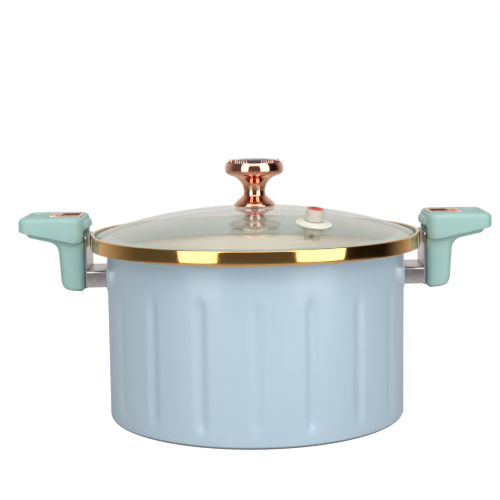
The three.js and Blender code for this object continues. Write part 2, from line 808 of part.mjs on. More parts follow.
/** Moulded shell over the latch, with a slot for the thumb pad and a window for the nose. */
function handleCover() {
  const end = coverFace + COVER.length;
  const deep = mouth + COVER.edgeInner - CUT;
  const outer = roundedPlan(coverFace, end, COVER.halfWidth, COVER.corner);
  let shell = raised(outer, deep, coverTop, COVER.round);
  const inner = roundedPlan(
    coverFace + COVER.wall, end - COVER.wall, COVER.halfWidth - COVER.wall, COVER.insideCorner,
    COVER.corner - COVER.wall,
  );
  shell = shell.subtract(raised(inner, deep - CUT, ceiling, 2));
  const under = outline([
    [coverFace - CUT, deep - 2 * CUT],
    [end + CUT, deep - 2 * CUT],
    [end + CUT, coverEdge(COVER.length + CUT)],
    [coverFace + COVER.edgeFlat, coverEdge(0)],
    [coverFace - CUT, coverEdge(0)],
  ]);
  shell = shell.subtract(across(under, COVER.halfWidth + CUT));
  const window = LATCH.halfWidth + GAP;
  shell = shell.subtract(
    block(
      [coverFace - CUT, -window, latchBottom - 1],
      [coverFace + COVER.wall + 1, window, mouth + LATCH.top + GAP],
    ),
  );
  shell = shell.subtract(slotBlock(TRIM.skirt + GAP, ceiling - CUT, coverTop + CUT));
  for (const sign of [-1, 1]) {
    const post = bar(COVER_SCREW.shank + 2, trayLid + GAP, ceiling + 1, 16);
    const hole = bar(COVER_SCREW.shank + GAP, mouth, coverScrewSeat + COVER_SCREW.length + 0.7, 12);
    const place = [coverScrewX, sign * COVER_SCREW.spread, 0];
    shell = shell.add(post.translate(place)).subtract(hole.translate(place));
  }
  const seatStart = coverFace + SLOT.start - TRIM.border - GAP;
  const seatEnd = coverFace + SLOT.start + SLOT.length + TRIM.border + GAP;
  const seat = roundedPlan(seatStart, seatEnd, SLOT.halfWidth + TRIM.sideBorder + GAP, TRIM.corner);
  shell = shell.subtract(raised(seat, trimSeat, coverTop + CUT));
  const dipStart = coverFace + THUMB_DIP.start;
  const dip = roundedPlan(dipStart, dipStart + THUMB_DIP.length, THUMB_DIP.halfWidth, THUMB_DIP.corner);
  return shell.subtract(raised(dip, coverTop - THUMB_DIP.depth, coverTop + CUT));
}

/** Block that fills the thumb slot, grown by a margin on every side. */
function slotBlock(margin, from, to) {
  const x0 = coverFace + SLOT.start - margin;
  const x1 = coverFace + SLOT.start + SLOT.length + margin;
  const half = SLOT.halfWidth + margin;
  return block([x0, -half, from], [x1, half, to]);
}

/** Bright frame round the thumb slot, with a skirt that stands in the slot. */
function slotTrim() {
  const x0 = coverFace + SLOT.start - TRIM.border;
  const x1 = coverFace + SLOT.start + SLOT.length + TRIM.border;
  const plate = roundedPlan(x0, x1, SLOT.halfWidth + TRIM.sideBorder, TRIM.corner);
  const rimPart = raised(plate, trimSeat + GAP, trimTop, 0.5, 2);
  const skirt = slotBlock(TRIM.skirt, ceiling + 1, trimTop - TRIM.height / 2);
  return rimPart.add(skirt).subtract(slotBlock(0, ceiling - CUT, coverTop + 2 * CUT));
}

/** Leaf spring under the latch that holds it at either end of its travel. */
function detentSpring() {
  const x0 = coverFace + COVER.wall + SPRING.start;
  const x1 = x0 + SPRING.length;
  const low = trayTop + GAP;
  const high = low + SPRING.sheet + SPRING.rise;
  const sheet = SPRING.sheet;
  const side = outline([
    [x0, low],
    [x0 + 4, low],
    [(x0 + x1) / 2, high - sheet],
    [x1 - 4, low],
    [x1, low],
    [x1, low + sheet],
    [x1 - 4 + sheet, low + sheet],
    [(x0 + x1) / 2, high],
    [x0 + 4 - sheet, low + sheet],
    [x0, low + sheet],
  ]);
  // narrow enough to pass between the heads of the latch screws
  return across(side, LATCH_SCREW.spread - LATCH_SCREW.head - 2 * GAP);
}

/** One screw from the back plate into the leg. */
function handleScrew(sign) {
  const inner = plateOuter - PLATE.thickness - GAP;
  const length = HANDLE_SCREW.length + PLATE.thickness;
  const body = alongX(screw({ ...HANDLE_SCREW, length }));
  return body.translate([inner, sign * HANDLE_SCREW.spread, mouth - HANDLE_SCREW.belowMouth]);
}

/** One screw from the bracket's end flange into the pot's boss. */
function bracketScrew(sign) {
  const seat = bossFace + 2 * GAP + BRACKET.endFlange;
  const body = screw({ ...BRACKET_SCREW, length: BRACKET_SCREW.length - GAP }).rotate([0, -90, 0]);
  return body.translate([seat, sign * BRACKET_SCREW.spread, bossMiddle]);
}

// ---------------------------------------------------------------- latch, drawn at +X

const latchBlockEnd = latchTip + LATCH.blockLength;
const latchTailEnd = padOuterEnd + 1.5;
const latchPlateTop = latchBottom + 0.1 + LATCH_PLATE.thickness;
const tailBottom = latchPlateTop + GAP;

/** Latch nose with a ramped tip, and the tail that slides inside the cover. */
function latchNose() {
  const side = outline([
    [latchTip, latchBottom + LATCH.rampHeight],
    [latchTip + LATCH.ramp, latchBottom],
    [latchBlockEnd, latchBottom],
    [latchBlockEnd, mouth + LATCH.top],
    [latchTip + 1.6, mouth + LATCH.top],
    [latchTip + 0.5, mouth + LATCH.top - 0.5],
    [latchTip, mouth + LATCH.top - 1.6],
  ]);
  const plan = raised(
    roundedPlan(latchTip, latchBlockEnd, LATCH.halfWidth, LATCH.corner, 1),
    latchBottom - CUT,
    mouth + LATCH.top + CUT,
  );
  let nose = across(side, LATCH.halfWidth).intersect(plan);
  nose = nose.add(
    block(
      [latchBlockEnd - 1, -LATCH.tailHalfWidth, tailBottom],
      [latchTailEnd, LATCH.tailHalfWidth, mouth + LATCH.tailTop],
    ),
  );
  const pocket = LATCH_PLATE.halfWidth + GAP;
  const pocketStart = latchTip + LATCH.ramp + LATCH_PLATE.start - GAP;
  nose = nose.subtract(
    block([pocketStart, -pocket, latchBottom - CUT], [latchTailEnd + CUT, pocket, tailBottom]),
  );
  for (const sign of [-1, 1]) nose = nose.subtract(latchScrewHole(sign));
  return nose;
}

/** Hole for one latch screw. */
function latchScrewHole(sign) {
  const top = mouth + LATCH.tailTop + GAP + LATCH_SCREW.grip + 0.5;
  const hole = bar(LATCH_SCREW.shank + GAP, latchBottom - CUT, top, 12);
  return hole.translate([padMiddle, sign * LATCH_SCREW.spread, 0]);
}

/** Steel strip let into the nose's underside, which bears on the hoop. */
function latchPlate() {
  const x0 = latchTip + LATCH.ramp + LATCH_PLATE.start;
  let plate = block(
    [x0, -LATCH_PLATE.halfWidth, latchBottom + 0.1],
    [latchTailEnd, LATCH_PLATE.halfWidth, latchPlateTop],
  );
  for (const sign of [-1, 1]) plate = plate.subtract(latchScrewHole(sign));
  return plate;
}

/** Ribbed thumb pad that stands up through the slot. */
function latchPad() {
  const x0 = padOuterEnd - PAD.length;
  const top = trimTop + PAD.above;
  const plan = roundedPlan(x0, padOuterEnd, PAD.halfWidth, 1.2);
  let pad = raised(plan, mouth + LATCH.tailTop + GAP, top, 0.6, 2);
  for (let i = 0; i < PAD.ribs; i += 1) {
    const x = x0 + (PAD.length * (i + 1)) / (PAD.ribs + 1);
    const half = PAD.ribWidth / 2;
    const reach = PAD.halfWidth - PAD.ribMargin;
    pad = pad.subtract(block([x - half, -reach, top - PAD.ribDepth], [x + half, reach, top + CUT]));
  }
  for (const sign of [-1, 1]) pad = pad.subtract(latchScrewHole(sign));
  return pad;
}

/** One screw up through the strip and the tail into the thumb pad. */
function latchScrew(sign) {
  const seat = latchBottom + 0.1 - GAP;
  const length = mouth + LATCH.tailTop + GAP + LATCH_SCREW.grip - seat;
  const body = screw({ ...LATCH_SCREW, length });
  return body.translate([padMiddle, sign * LATCH_SCREW.spread, seat]);
}

// ---------------------------------------------------------------- assembly

/** One named mesh. */
function piece(name, body, material) {
  const mesh = new THREE.Mesh(geometryOf(body), material);
  mesh.name = name;
  return mesh;
}

/** One handle with its latch, turned about the pot's axis to its side. */
function handle(side, turn) {
  const group = new THREE.Group();
  group.rotation.z = turn;
  group.add(
    piece(`bracket_${side}`, bracket(), FINISH.steel),
    piece(`back_plate_${side}`, backPlate(), FINISH.steel),
    piece(`handle_base_${side}`, handleBase(), FINISH.mint),
    piece(`handle_cover_${side}`, handleCover(), FINISH.mint),
    piece(`slot_trim_${side}`, slotTrim(), FINISH.roseGold),
    piece(`detent_spring_${side}`, detentSpring(), FINISH.steel),
    piece(`latch_nose_${side}`, latchNose(), FINISH.mint),
    piece(`latch_plate_${side}`, latchPlate(), FINISH.steel),
    piece(`latch_pad_${side}`, latchPad(), FINISH.roseGold),
  );
  for (const [place, sign] of [['front', -1], ['rear', 1]]) {
    group.add(
      piece(`bracket_screw_${side}_${place}`, bracketScrew(sign), FINISH.steel),
      piece(`handle_screw_${side}_${place}`, handleScrew(sign), FINISH.steel),
      piece(`cover_screw_${side}_${place}`, coverScrew(sign), FINISH.steel),
      piece(`latch_screw_${side}_${place}`, latchScrew(sign), FINISH.steel),
    );
  }
  return group;
}

/** The lid with its knob and valve. */
function lid() {
  const group = new THREE.Group();
  group.add(
    piece('lid_glass', lidGlass(), FINISH.glass),
    piece('lid_hoop', lidHoop(), FINISH.gold),
    piece('lid_gasket', lidGasket(), FINISH.silicone),
    piece('knob_body', knobBody(), FINISH.roseGold),
    piece('knob_insert', knobInsert(), FINISH.brass),
    piece('knob_bezel', knobBezel(), FINISH.roseGold),
    piece('knob_crystal', knobCrystal(), FINISH.crystal),
    piece('knob_washer', knobWasher(), FINISH.silicone),
    piece('knob_screw', knobScrew(), FINISH.steel),
    piece('valve_grommet', valveGrommet(), FINISH.cream),
    piece('valve_housing', valveHousing(), FINISH.cream),
    piece('valve_float', valveFloat(), FINISH.red),
    piece('valve_float_clip', valveFloatClip(), FINISH.cream),
  );
  return group;
}

const stockPot = new THREE.Group();
stockPot.add(
  piece('pot_body', potBody(), FINISH.enamel),
  piece('base_disc', baseDisc(), FINISH.steel),
  lid(),
  handle('right', 0),
  handle('left', Math.PI),
);

export default stockPot;
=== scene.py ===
"""Looks of a fluted stock pot with a glass lid, a float valve and two latching side handles.

Sizes are in millimetres in the classes and become metres when a mesh is made. +Z is up, X runs
from handle to handle, and the origin is the centre of the pot's underside.
"""
import logging
import math
from collections.abc import Callable, Iterable, Sequence
from dataclasses import dataclass, field
from enum import Enum

import bmesh
import bpy
from mathutils import Matrix, Vector


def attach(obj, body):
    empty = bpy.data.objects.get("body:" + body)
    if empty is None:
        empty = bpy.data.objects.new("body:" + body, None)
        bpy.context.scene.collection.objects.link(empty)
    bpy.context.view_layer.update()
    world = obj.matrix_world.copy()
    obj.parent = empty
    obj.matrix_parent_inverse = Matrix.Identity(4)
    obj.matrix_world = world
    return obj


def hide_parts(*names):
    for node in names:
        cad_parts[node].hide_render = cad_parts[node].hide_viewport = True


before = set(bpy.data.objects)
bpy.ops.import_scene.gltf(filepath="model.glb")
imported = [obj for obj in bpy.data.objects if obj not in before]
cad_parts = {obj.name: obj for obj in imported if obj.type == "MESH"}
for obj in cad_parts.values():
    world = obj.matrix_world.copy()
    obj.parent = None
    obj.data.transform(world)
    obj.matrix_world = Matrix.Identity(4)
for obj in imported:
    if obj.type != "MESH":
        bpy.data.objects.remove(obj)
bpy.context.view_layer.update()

MM = 0.001  # metres in a millimetre
GAP = 0.3  # millimetres between pieces that touch
SMOOTH_ANGLE = math.radians(34)  # edges sharper than this stay crisp
TINY = 1e-6

Point2 = tuple[float, float]
Point3 = tuple[float, float, float]

log = logging.getLogger("stock_pot")


class Side(Enum):
    """Which handle a piece belongs to, with its turn about the pot's axis."""

    RIGHT = ("right", 0.0)
    LEFT = ("left", math.pi)

    @property
    def label(self) -> str:
        """The word that ends the names of this side's pieces."""
        return self.value[0]

    @property
    def turn(self) -> Matrix:
        """The turn that brings a piece drawn at +X to this side."""
        return Matrix.Rotation(self.value[1], 4, "Z")


class Grain(Enum):
    """How a surface was made, which sets the pattern of its bump."""

    PEEL = "sprayed and fired, with a faint orange peel"
    SPARK = "moulded in a spark-eroded tool"
    TURNED = "turned or spun, with lines round the axis"
    BRUSHED = "brushed, with lines along X"
    CAST = "polished by hand, with soft unevenness"


# ---------------------------------------------------------------- outlines and shells


def arc(centre: Point2, radius: float, start: float, end: float, steps: int) -> list[Point2]:
    """Points on an arc.

    Args:
        centre: the arc's middle.
        radius: its radius.
        start: the first point's angle in degrees.
        end: the last point's angle in degrees.
        steps: how many pieces the arc is cut into.

    Returns:
        steps + 1 points.
    """
    angles = [math.radians(start + (end - start) * i / steps) for i in range(steps + 1)]
    return [(centre[0] + radius * math.cos(a), centre[1] + radius * math.sin(a)) for a in angles]


def softened(corners: Sequence[Sequence[float]], steps: int = 4, loop: bool = True) -> list[Point2]:
    """Rounds the corners of an outline.

    Args:
        corners: (across, up) or (across, up, radius) for each corner, in order.
        steps: how many pieces each round has.
        loop: whether the outline closes on itself.

    Returns:
        The outline's points.
    """
    line: list[Point2] = []
    count = len(corners)
    for i, corner in enumerate(corners):
        here = Vector(corner[:2])
        radius = corner[2] if len(corner) > 2 else 0.0
        if radius <= 0 or (not loop and i in (0, count - 1)):
            line.append((here.x, here.y))
            continue
        before = (Vector(corners[i - 1][:2]) - here).normalized()
        after = (Vector(corners[(i + 1) % count][:2]) - here).normalized()
        half = before.angle(after) / 2
        reach = radius / math.tan(half)
        start = here + before * reach
        end = here + after * reach
        for k in range(steps + 1):
            t = k / steps
            # a quadratic curve with the corner as its control point, close to an arc
            point = start * (1 - t) ** 2 + here * 2 * t * (1 - t) + end * t ** 2
            line.append((point.x, point.y))
    return line


def flowing(knots: Sequence[Point2], steps: int) -> list[Point2]:
    """A smooth line through knots.

    Args:
        knots: the points that the line passes through.
        steps: how many pieces lie between two knots.

    Returns:
        The line's points.
    """
    held = [Vector(k) for k in (knots[0], *knots, knots[-1])]
    line: list[Point2] = []
    for i in range(1, len(held) - 2):
        a, b, c, d = held[i - 1:i + 3]
        for k in range(steps):
            t = k / steps
            point = 0.5 * (
                2 * b + (c - a) * t + (2 * a - 5 * b + 4 * c - d) * t ** 2
                + (3 * b - a - 3 * c + d) * t ** 3
            )
            line.append((point.x, point.y))
    return [*line, tuple(knots[-1])]


def rounded_plan(x0: float, x1: float, half: float, inner: float, outer: float,
                 steps: int = 8, runs: int = 1) -> list[Point2]:
    """A rectangle about the X axis with rounded corners.

    Args:
        x0: its end nearer the pot.
        x1: its far end.
        half: half its width along Y.
        inner: corner radius at x0.
        outer: corner radius at x1.
        steps: pieces in each round.
        runs: pieces in each straight side along X.

    Returns:
        Its points, always the same number for the same steps and runs.
    """
    corners = [
        arc((x1 - outer, half - outer), outer, 0, 90, steps),
        arc((x0 + inner, half - inner), inner, 90, 180, steps),
        arc((x0 + inner, inner - half), inner, 180, 270, steps),
        arc((x1 - outer, outer - half), outer, 270, 360, steps),
    ]
    plan: list[Point2] = []
    for i, corner in enumerate(corners):
        plan.extend(corner)
        after = corners[(i + 1) % 4][0]
        for k in range(1, runs if i in (0, 2) else 1):
            t = k / runs
            plan.append((corner[-1][0] * (1 - t) + after[0] * t, corner[-1][1] * (1 - t) + after[1] * t))
    return plan


@dataclass
class Shell:
    """Points and faces of a mesh that is being made, in millimetres."""

    points: list[Point3] = field(default_factory=list)
    faces: list[tuple[int, ...]] = field(default_factory=list)

    def ring(self, places: Iterable[Point3]) -> list[int]:
        """Adds points and returns their numbers.

        Args:
            places: the points.

        Returns:
            Their numbers, in order.
        """
        start = len(self.points)
        self.points.extend(places)
        return list(range(start, len(self.points)))

    def bridge(self, first: Sequence[int], second: Sequence[int]) -> None:
        """Joins two rings with faces; a ring of one point makes a fan.

        Args:
            first: one ring.
            second: the other, with as many points or just one.
        """
        count = max(len(first), len(second))
        for i in range(count):
            j = (i + 1) % count
            corners = (
                first[i % len(first)], first[j % len(first)],
                second[j % len(second)], second[i % len(second)],
            )
            self.faces.append(tuple(dict.fromkeys(corners)))

    def stack(self, rings: Sequence[Sequence[int]], capped: bool) -> None:
        """Bridges each ring to the next, then caps the ends or joins them.

        Args:
            rings: the rings, in order.
            capped: whether the ends are closed with a face; if not, they are joined.
        """
        for first, second in zip(rings, rings[1:]):
            self.bridge(first, second)
        if capped:
            self.faces.extend(tuple(r) for r in (rings[0], rings[-1]) if len(r) > 2)
        else:
            self.bridge(rings[-1], rings[0])

    def piece(self, name: str, place: Matrix | None = None) -> bpy.types.Object:
        """Makes an object of the shell.

        Args:
            name: the object's name.
            place: where the shell stands, with millimetres in its translation.

        Returns:
            The object, at the origin, with outward faces.
        """
        mesh = bpy.data.meshes.new(name)
        placed = [(place or Matrix.Identity(4)) @ Vector(p) * MM for p in self.points]
        mesh.from_pydata(placed, [], self.faces)
        work = bmesh.new()
        work.from_mesh(mesh)
        bmesh.ops.remove_doubles(work, verts=work.verts, dist=TINY)
        bmesh.ops.recalc_face_normals(work, faces=work.faces)
        work.to_mesh(mesh)
        work.free()
        made = bpy.data.objects.new(name, mesh)
        bpy.context.scene.collection.objects.link(made)
        return made


def turned(outline: Sequence[Point2], sides: int) -> Shell:
    """Turns an outline of (radius, height) about Z; it closes on the axis or on itself.

    Args:
        outline: the section's points.
        sides: how many faces go round.

    Returns:
        The closed shell.
    """
    shell = Shell()
    angles = [2 * math.pi * i / sides for i in range(sides)]
    rings = []
    for radius, height in outline:
        places = [(radius * math.cos(a), radius * math.sin(a), height) for a in angles]
        rings.append(shell.ring([(0.0, 0.0, height)] if radius < TINY else places))
    shell.stack(rings, capped=outline[0][0] < TINY)
    return shell


def lofted(layers: Sequence[tuple[Sequence[Point2], float]], capped: bool = True) -> Shell:
    """Stacks level outlines, each with its height, into a closed shell.

    Args:
        layers: each outline with its height, from the bottom up.
        capped: whether the first and last outlines are closed with a face; if not, they are joined.

    Returns:
        The closed shell.
    """
    shell = Shell()
    rings = [shell.ring((x, y, height) for x, y in plan) for plan, height in layers]
    shell.stack(rings, capped)
    return shell


def box_shell(low: Point3, high: Point3) -> Shell:
    """A block between two corners."""
    plan = [(low[0], low[1]), (high[0], low[1]), (high[0], high[1]), (low[0], high[1])]
    return lofted([(plan, low[2]), (plan, high[2])])


# ---------------------------------------------------------------- meshes


def settled(piece: bpy.types.Object, angle: float = SMOOTH_ANGLE) -> bpy.types.Object:
    """Turns a piece's modifiers into plain mesh and shades it smooth up to an angle.

    Args:
        piece: the object.
        angle: edges sharper than this, in radians, stay crisp.

    Returns:
        The same object.
    """
    shown = piece.evaluated_get(bpy.context.evaluated_depsgraph_get())
    mesh = bpy.data.meshes.new_from_object(shown)
    old = piece.data
    piece.modifiers.clear()
    piece.data = mesh
    bpy.data.meshes.remove(old)
    mesh.polygons.foreach_set("use_smooth", [True] * len(mesh.polygons))
    mesh.set_sharp_from_angle(angle=angle)
    return piece


def combined(piece: bpy.types.Object, other: bpy.types.Object, how: str) -> bpy.types.Object:
    """Joins, cuts or trims a piece with another, which is used up.

    Args:
        piece: the object that stays.
        other: the object that is used.
        how: UNION, DIFFERENCE or INTERSECT.

    Returns:
        The first object.
    """
    modifier = piece.modifiers.new("combine", "BOOLEAN")
    modifier.operation = how
    modifier.solver = "EXACT"
    modifier.object = other
    settled(piece)
    bpy.data.objects.remove(other)
    return piece


def bevelled(piece: bpy.types.Object, width: float, segments: int, angle: float) -> bpy.types.Object:
    """Breaks the sharp edges of a piece.

    Args:
        piece: the object.
        width: the bevel's width in millimetres.
        segments: pieces across the bevel.
        angle: only edges sharper than this, in degrees, are broken.

    Returns:
        The same object.
    """
    modifier = piece.modifiers.new("break", "BEVEL")
    modifier.width = width * MM
    modifier.segments = segments
    modifier.limit_method = "ANGLE"
    modifier.angle_limit = math.radians(angle)
    modifier.use_clamp_overlap = True
    return settled(piece)


def new_tree(name: str, inputs: dict[str, object]) -> tuple[bpy.types.NodeTree, dict[str, object]]:
    """Starts a Geometry Nodes tree.

    Args:
        name: the tree's name.
        inputs: each named input's default value: a whole number, a number or a vector.

    Returns:
        The tree and its inputs by name, with the piece's own mesh as "Geometry".
    """
    kinds = {int: "NodeSocketInt", float: "NodeSocketFloat", tuple: "NodeSocketVector"}
    tree = bpy.data.node_groups.new(name, "GeometryNodeTree")
    tree.interface.new_socket("Geometry", in_out="INPUT", socket_type="NodeSocketGeometry")
    for label, value in inputs.items():
        socket = tree.interface.new_socket(label, in_out="INPUT", socket_type=kinds[type(value)])
        socket.default_value = value
    tree.interface.new_socket("Geometry", in_out="OUTPUT", socket_type="NodeSocketGeometry")
    given = tree.nodes.new("NodeGroupInput").outputs
    return tree, {label: given[label] for label in ("Geometry", *inputs)}


def add_node(tree: bpy.types.NodeTree, kind: str, sockets: dict | None = None,
             **settings: object) -> bpy.types.Node:
    """Adds a node with its settings, values and links.

    Args:
        tree: the tree that the node joins.
        kind: the node's type name.
        sockets: for each input, by name or number, an output to link or a value.
        settings: the node's own properties.

    Returns:
        The node.
    """
    node = tree.nodes.new(kind)
    for label, value in settings.items():
        setattr(node, label, value)
    for key, value in (sockets or {}).items():
        if isinstance(value, bpy.types.NodeSocket):
            tree.links.new(value, node.inputs[key])
        else:
            node.inputs[key].default_value = value
    return node


def reckoned(tree: bpy.types.NodeTree, known: dict[str, object],
             steps: Sequence[tuple]) -> dict[str, object]:
    """Adds a row of sums to a tree, each of which may use the ones before it.

    Args:
        tree: the tree.
        known: the outputs that the sums may name.
        steps: for each sum its name, the operation, and its terms: numbers or names.

    Returns:
        What was known and each sum's output, by name.
    """
    found = dict(known)
    for name, operation, *terms in steps:
        values = [found[term] if isinstance(term, str) else term for term in terms]
        node = add_node(tree, "ShaderNodeMath", dict(enumerate(values)), operation=operation)
        found[name] = node.outputs[0]
    return found


def polar(tree: bpy.types.NodeTree) -> dict[str, object]:
    """Adds the nodes that give a point's x, y, z, its reach from the axis and the way outwards.

    Args:
        tree: the tree.

    Returns:
        Those outputs, by name.
    """
    place = add_node(tree, "GeometryNodeInputPosition").outputs[0]
    x, y, z = add_node(tree, "ShaderNodeSeparateXYZ", {0: place}).outputs
    flat = add_node(tree, "ShaderNodeCombineXYZ", {0: x, 1: y}).outputs[0]
    reach = add_node(tree, "ShaderNodeVectorMath", {0: flat}, operation="LENGTH").outputs["Value"]
    outward = add_node(tree, "ShaderNodeVectorMath", {0: flat}, operation="NORMALIZE").outputs[0]
    return {"x": x, "y": y, "z": z, "reach": reach, "outward": outward}


def close_tree(tree: bpy.types.NodeTree, geometry: bpy.types.NodeSocket,
               material: bpy.types.Material) -> None:
    """Ends a Geometry Nodes tree with real geometry and its material.

    Args:
        tree: the tree.
        geometry: the output that holds what was made.
        material: the finish that everything made wears.
    """
    real = add_node(tree, "GeometryNodeRealizeInstances", {0: geometry})
    dressed = add_node(tree, "GeometryNodeSetMaterial", {0: real.outputs[0], "Material": material})
    add_node(tree, "NodeGroupOutput", {0: dressed.outputs[0]})


def grown(piece: bpy.types.Object, tree: bpy.types.NodeTree,
          values: dict[str, object]) -> bpy.types.Object:
    """Runs a Geometry Nodes tree on a piece and keeps the result as plain mesh.

    Args:
        piece: the object that the tree starts from.
        tree: the tree.
        values: the named inputs, which are set by their sockets' identifiers.

    Returns:
        The same object.
    """
    modifier = piece.modifiers.new(tree.name, "NODES")
    modifier.node_group = tree
    for item in tree.interface.items_tree:
        if item.in_out == "INPUT" and item.name in values:
            modifier[item.identifier] = values[item.name]
    return settled(piece)


# ---------------------------------------------------------------- finishes


def linear(code: str) -> tuple[float, float, float, float]:
    """Turns an sRGB hex colour such as "#a6c9c0" into linear light.

    Args:
        code: the colour.

    Returns:
        Red, green, blue and an alpha of 1.
    """
    parts = [int(code[i:i + 2], 16) / 255 for i in (1, 3, 5)]
    bent = [p / 12.92 if p <= 0.04045 else ((p + 0.055) / 1.055) ** 2.4 for p in parts]
    return (*bent, 1.0)


@dataclass(frozen=True)
class Finish:
    """One surface: its colours, its gloss and the fine relief that its making left."""

    name: str
    colour: str
    shade: str  # the colour that it drifts to in places
    grain: Grain
    roughness: tuple[float, float]  # from its smoothest to its dullest places
    drift: float = 30.0  # mm between lighter and darker places
    pitch: float = 1.0  # mm from one mark of the grain to the next
    relief: float = 0.01  # mm between a mark's top and bottom
    metallic: float = 0.0
    ior: float = 1.5
    coat: float = 0.0
    coat_roughness: float = 0.05
    scatter: float = 0.0  # share of the light that goes under the surface

    def place(self, tree: bpy.types.NodeTree, stretch: float = 1.0) -> bpy.types.NodeSocket:
        """Object coordinates in millimetres, drawn out along X by a stretch.

        Args:
            tree: the material's nodes.
            stretch: how many times as long along X a pattern becomes.

        Returns:
            The coordinates.
        """
        where = add_node(tree, "ShaderNodeTexCoord")
        return add_node(tree, "ShaderNodeMapping", {
            "Vector": where.outputs["Object"], "Scale": (1 / (stretch * MM), 1 / MM, 1 / MM),
        }).outputs[0]

    def grain_place(self, tree: bpy.types.NodeTree) -> bpy.types.NodeSocket:
        """Coordinates that the grain is drawn on; on turned work they follow the axis.

        Args:
            tree: the material's nodes.

        Returns:
            The coordinates.
        """
        # a brush mark is 40 times as long as it is wide
        place = self.place(tree, 40.0 if self.grain is Grain.BRUSHED else 1.0)
        if self.grain is not Grain.TURNED:
            return place
        x, y, z = add_node(tree, "ShaderNodeSeparateXYZ", {0: place}).outputs
        flat = add_node(tree, "ShaderNodeCombineXYZ", {0: x, 1: y}).outputs[0]
        reach = add_node(tree, "ShaderNodeVectorMath", {0: flat}, operation="LENGTH").outputs["Value"]
        return add_node(tree, "ShaderNodeCombineXYZ", {0: reach, 2: z}).outputs[0]

    def material(self) -> bpy.types.Material:
        """Makes the finish, or gives the one made before.

        Returns:
            The material.
        """
        made = bpy.data.materials.get(self.name)
        if made is not None:
            return made
        made = bpy.data.materials.new(self.name)
        made.use_nodes = True
        tree = made.node_tree
        tree.nodes.clear()
        cloud = add_node(tree, "ShaderNodeTexNoise", {
            "Vector": self.place(tree), "Scale": 1 / self.drift, "Detail": 3.0, "Roughness": 0.55,
        })
        tint = add_node(tree, "ShaderNodeMix", {
            0: cloud.outputs["Fac"], 6: linear(self.colour), 7: linear(self.shade),
        }, data_type="RGBA")
        marks = add_node(tree, "ShaderNodeTexNoise", {
            "Vector": self.grain_place(tree), "Scale": 1 / self.pitch, "Detail": 2.0, "Roughness": 0.5,
        })
        gloss = add_node(tree, "ShaderNodeMapRange", {
            "Value": cloud.outputs["Fac"], "From Min": 0.3, "From Max": 0.7,
            "To Min": self.roughness[0], "To Max": self.roughness[1],
        })
        bump = add_node(tree, "ShaderNodeBump", {
            "Height": marks.outputs["Fac"], "Strength": 1.0, "Distance": self.relief * MM,
        })
        skin = add_node(tree, "ShaderNodeBsdfPrincipled", {
            "Base Color": self.finished(tree, tint.outputs[2]), "Roughness": gloss.outputs[0],
            "Normal": bump.outputs[0], "Metallic": self.metallic,
        })
        if not self.metallic:
            skin.inputs["IOR"].default_value = self.ior
        skin.inputs["Coat Weight"].default_value = self.coat
        skin.inputs["Coat Roughness"].default_value = self.coat_roughness
        skin.inputs["Subsurface Weight"].default_value = self.scatter
        skin.inputs["Subsurface Radius"].default_value = (2 * MM, 2 * MM, 2 * MM)
        skin.inputs["Subsurface Scale"].default_value = 1.0
        add_node(tree, "ShaderNodeOutputMaterial", {"Surface": skin.outputs[0]})
        return made

    def finished(self, tree: bpy.types.NodeTree, colour: bpy.types.NodeSocket) -> bpy.types.NodeSocket:
        """The colour after what is particular to one finish; this one adds nothing."""
        return colour


@dataclass(frozen=True)
class PotEnamel(Finish):
    """Fired enamel whose film thins to grey at the pot's foot, where it was wiped before firing."""

    foot: float = 1.6  # mm up from the underside
    bare: str = "#7c8085"

    def finished(self, tree: bpy.types.NodeTree, colour: bpy.types.NodeSocket) -> bpy.types.NodeSocket:
        """Mixes in the bare line at the foot.

        Args:
            tree: the material's nodes.
            colour: the enamel's colour.

        Returns:
            The colour with its bare line.
        """
        where = add_node(tree, "ShaderNodeTexCoord")
        height = add_node(tree, "ShaderNodeSeparateXYZ", {0: where.outputs["Object"]})
        film = add_node(tree, "ShaderNodeMapRange", {
            "Value": height.outputs[2], "From Min": self.foot * MM, "From Max": (self.foot + 1) * MM,
        })
        mixed = add_node(tree, "ShaderNodeMix", {
            0: film.outputs[0], 6: linear(self.bare), 7: colour,
        }, data_type="RGBA")
        return mixed.outputs[2]


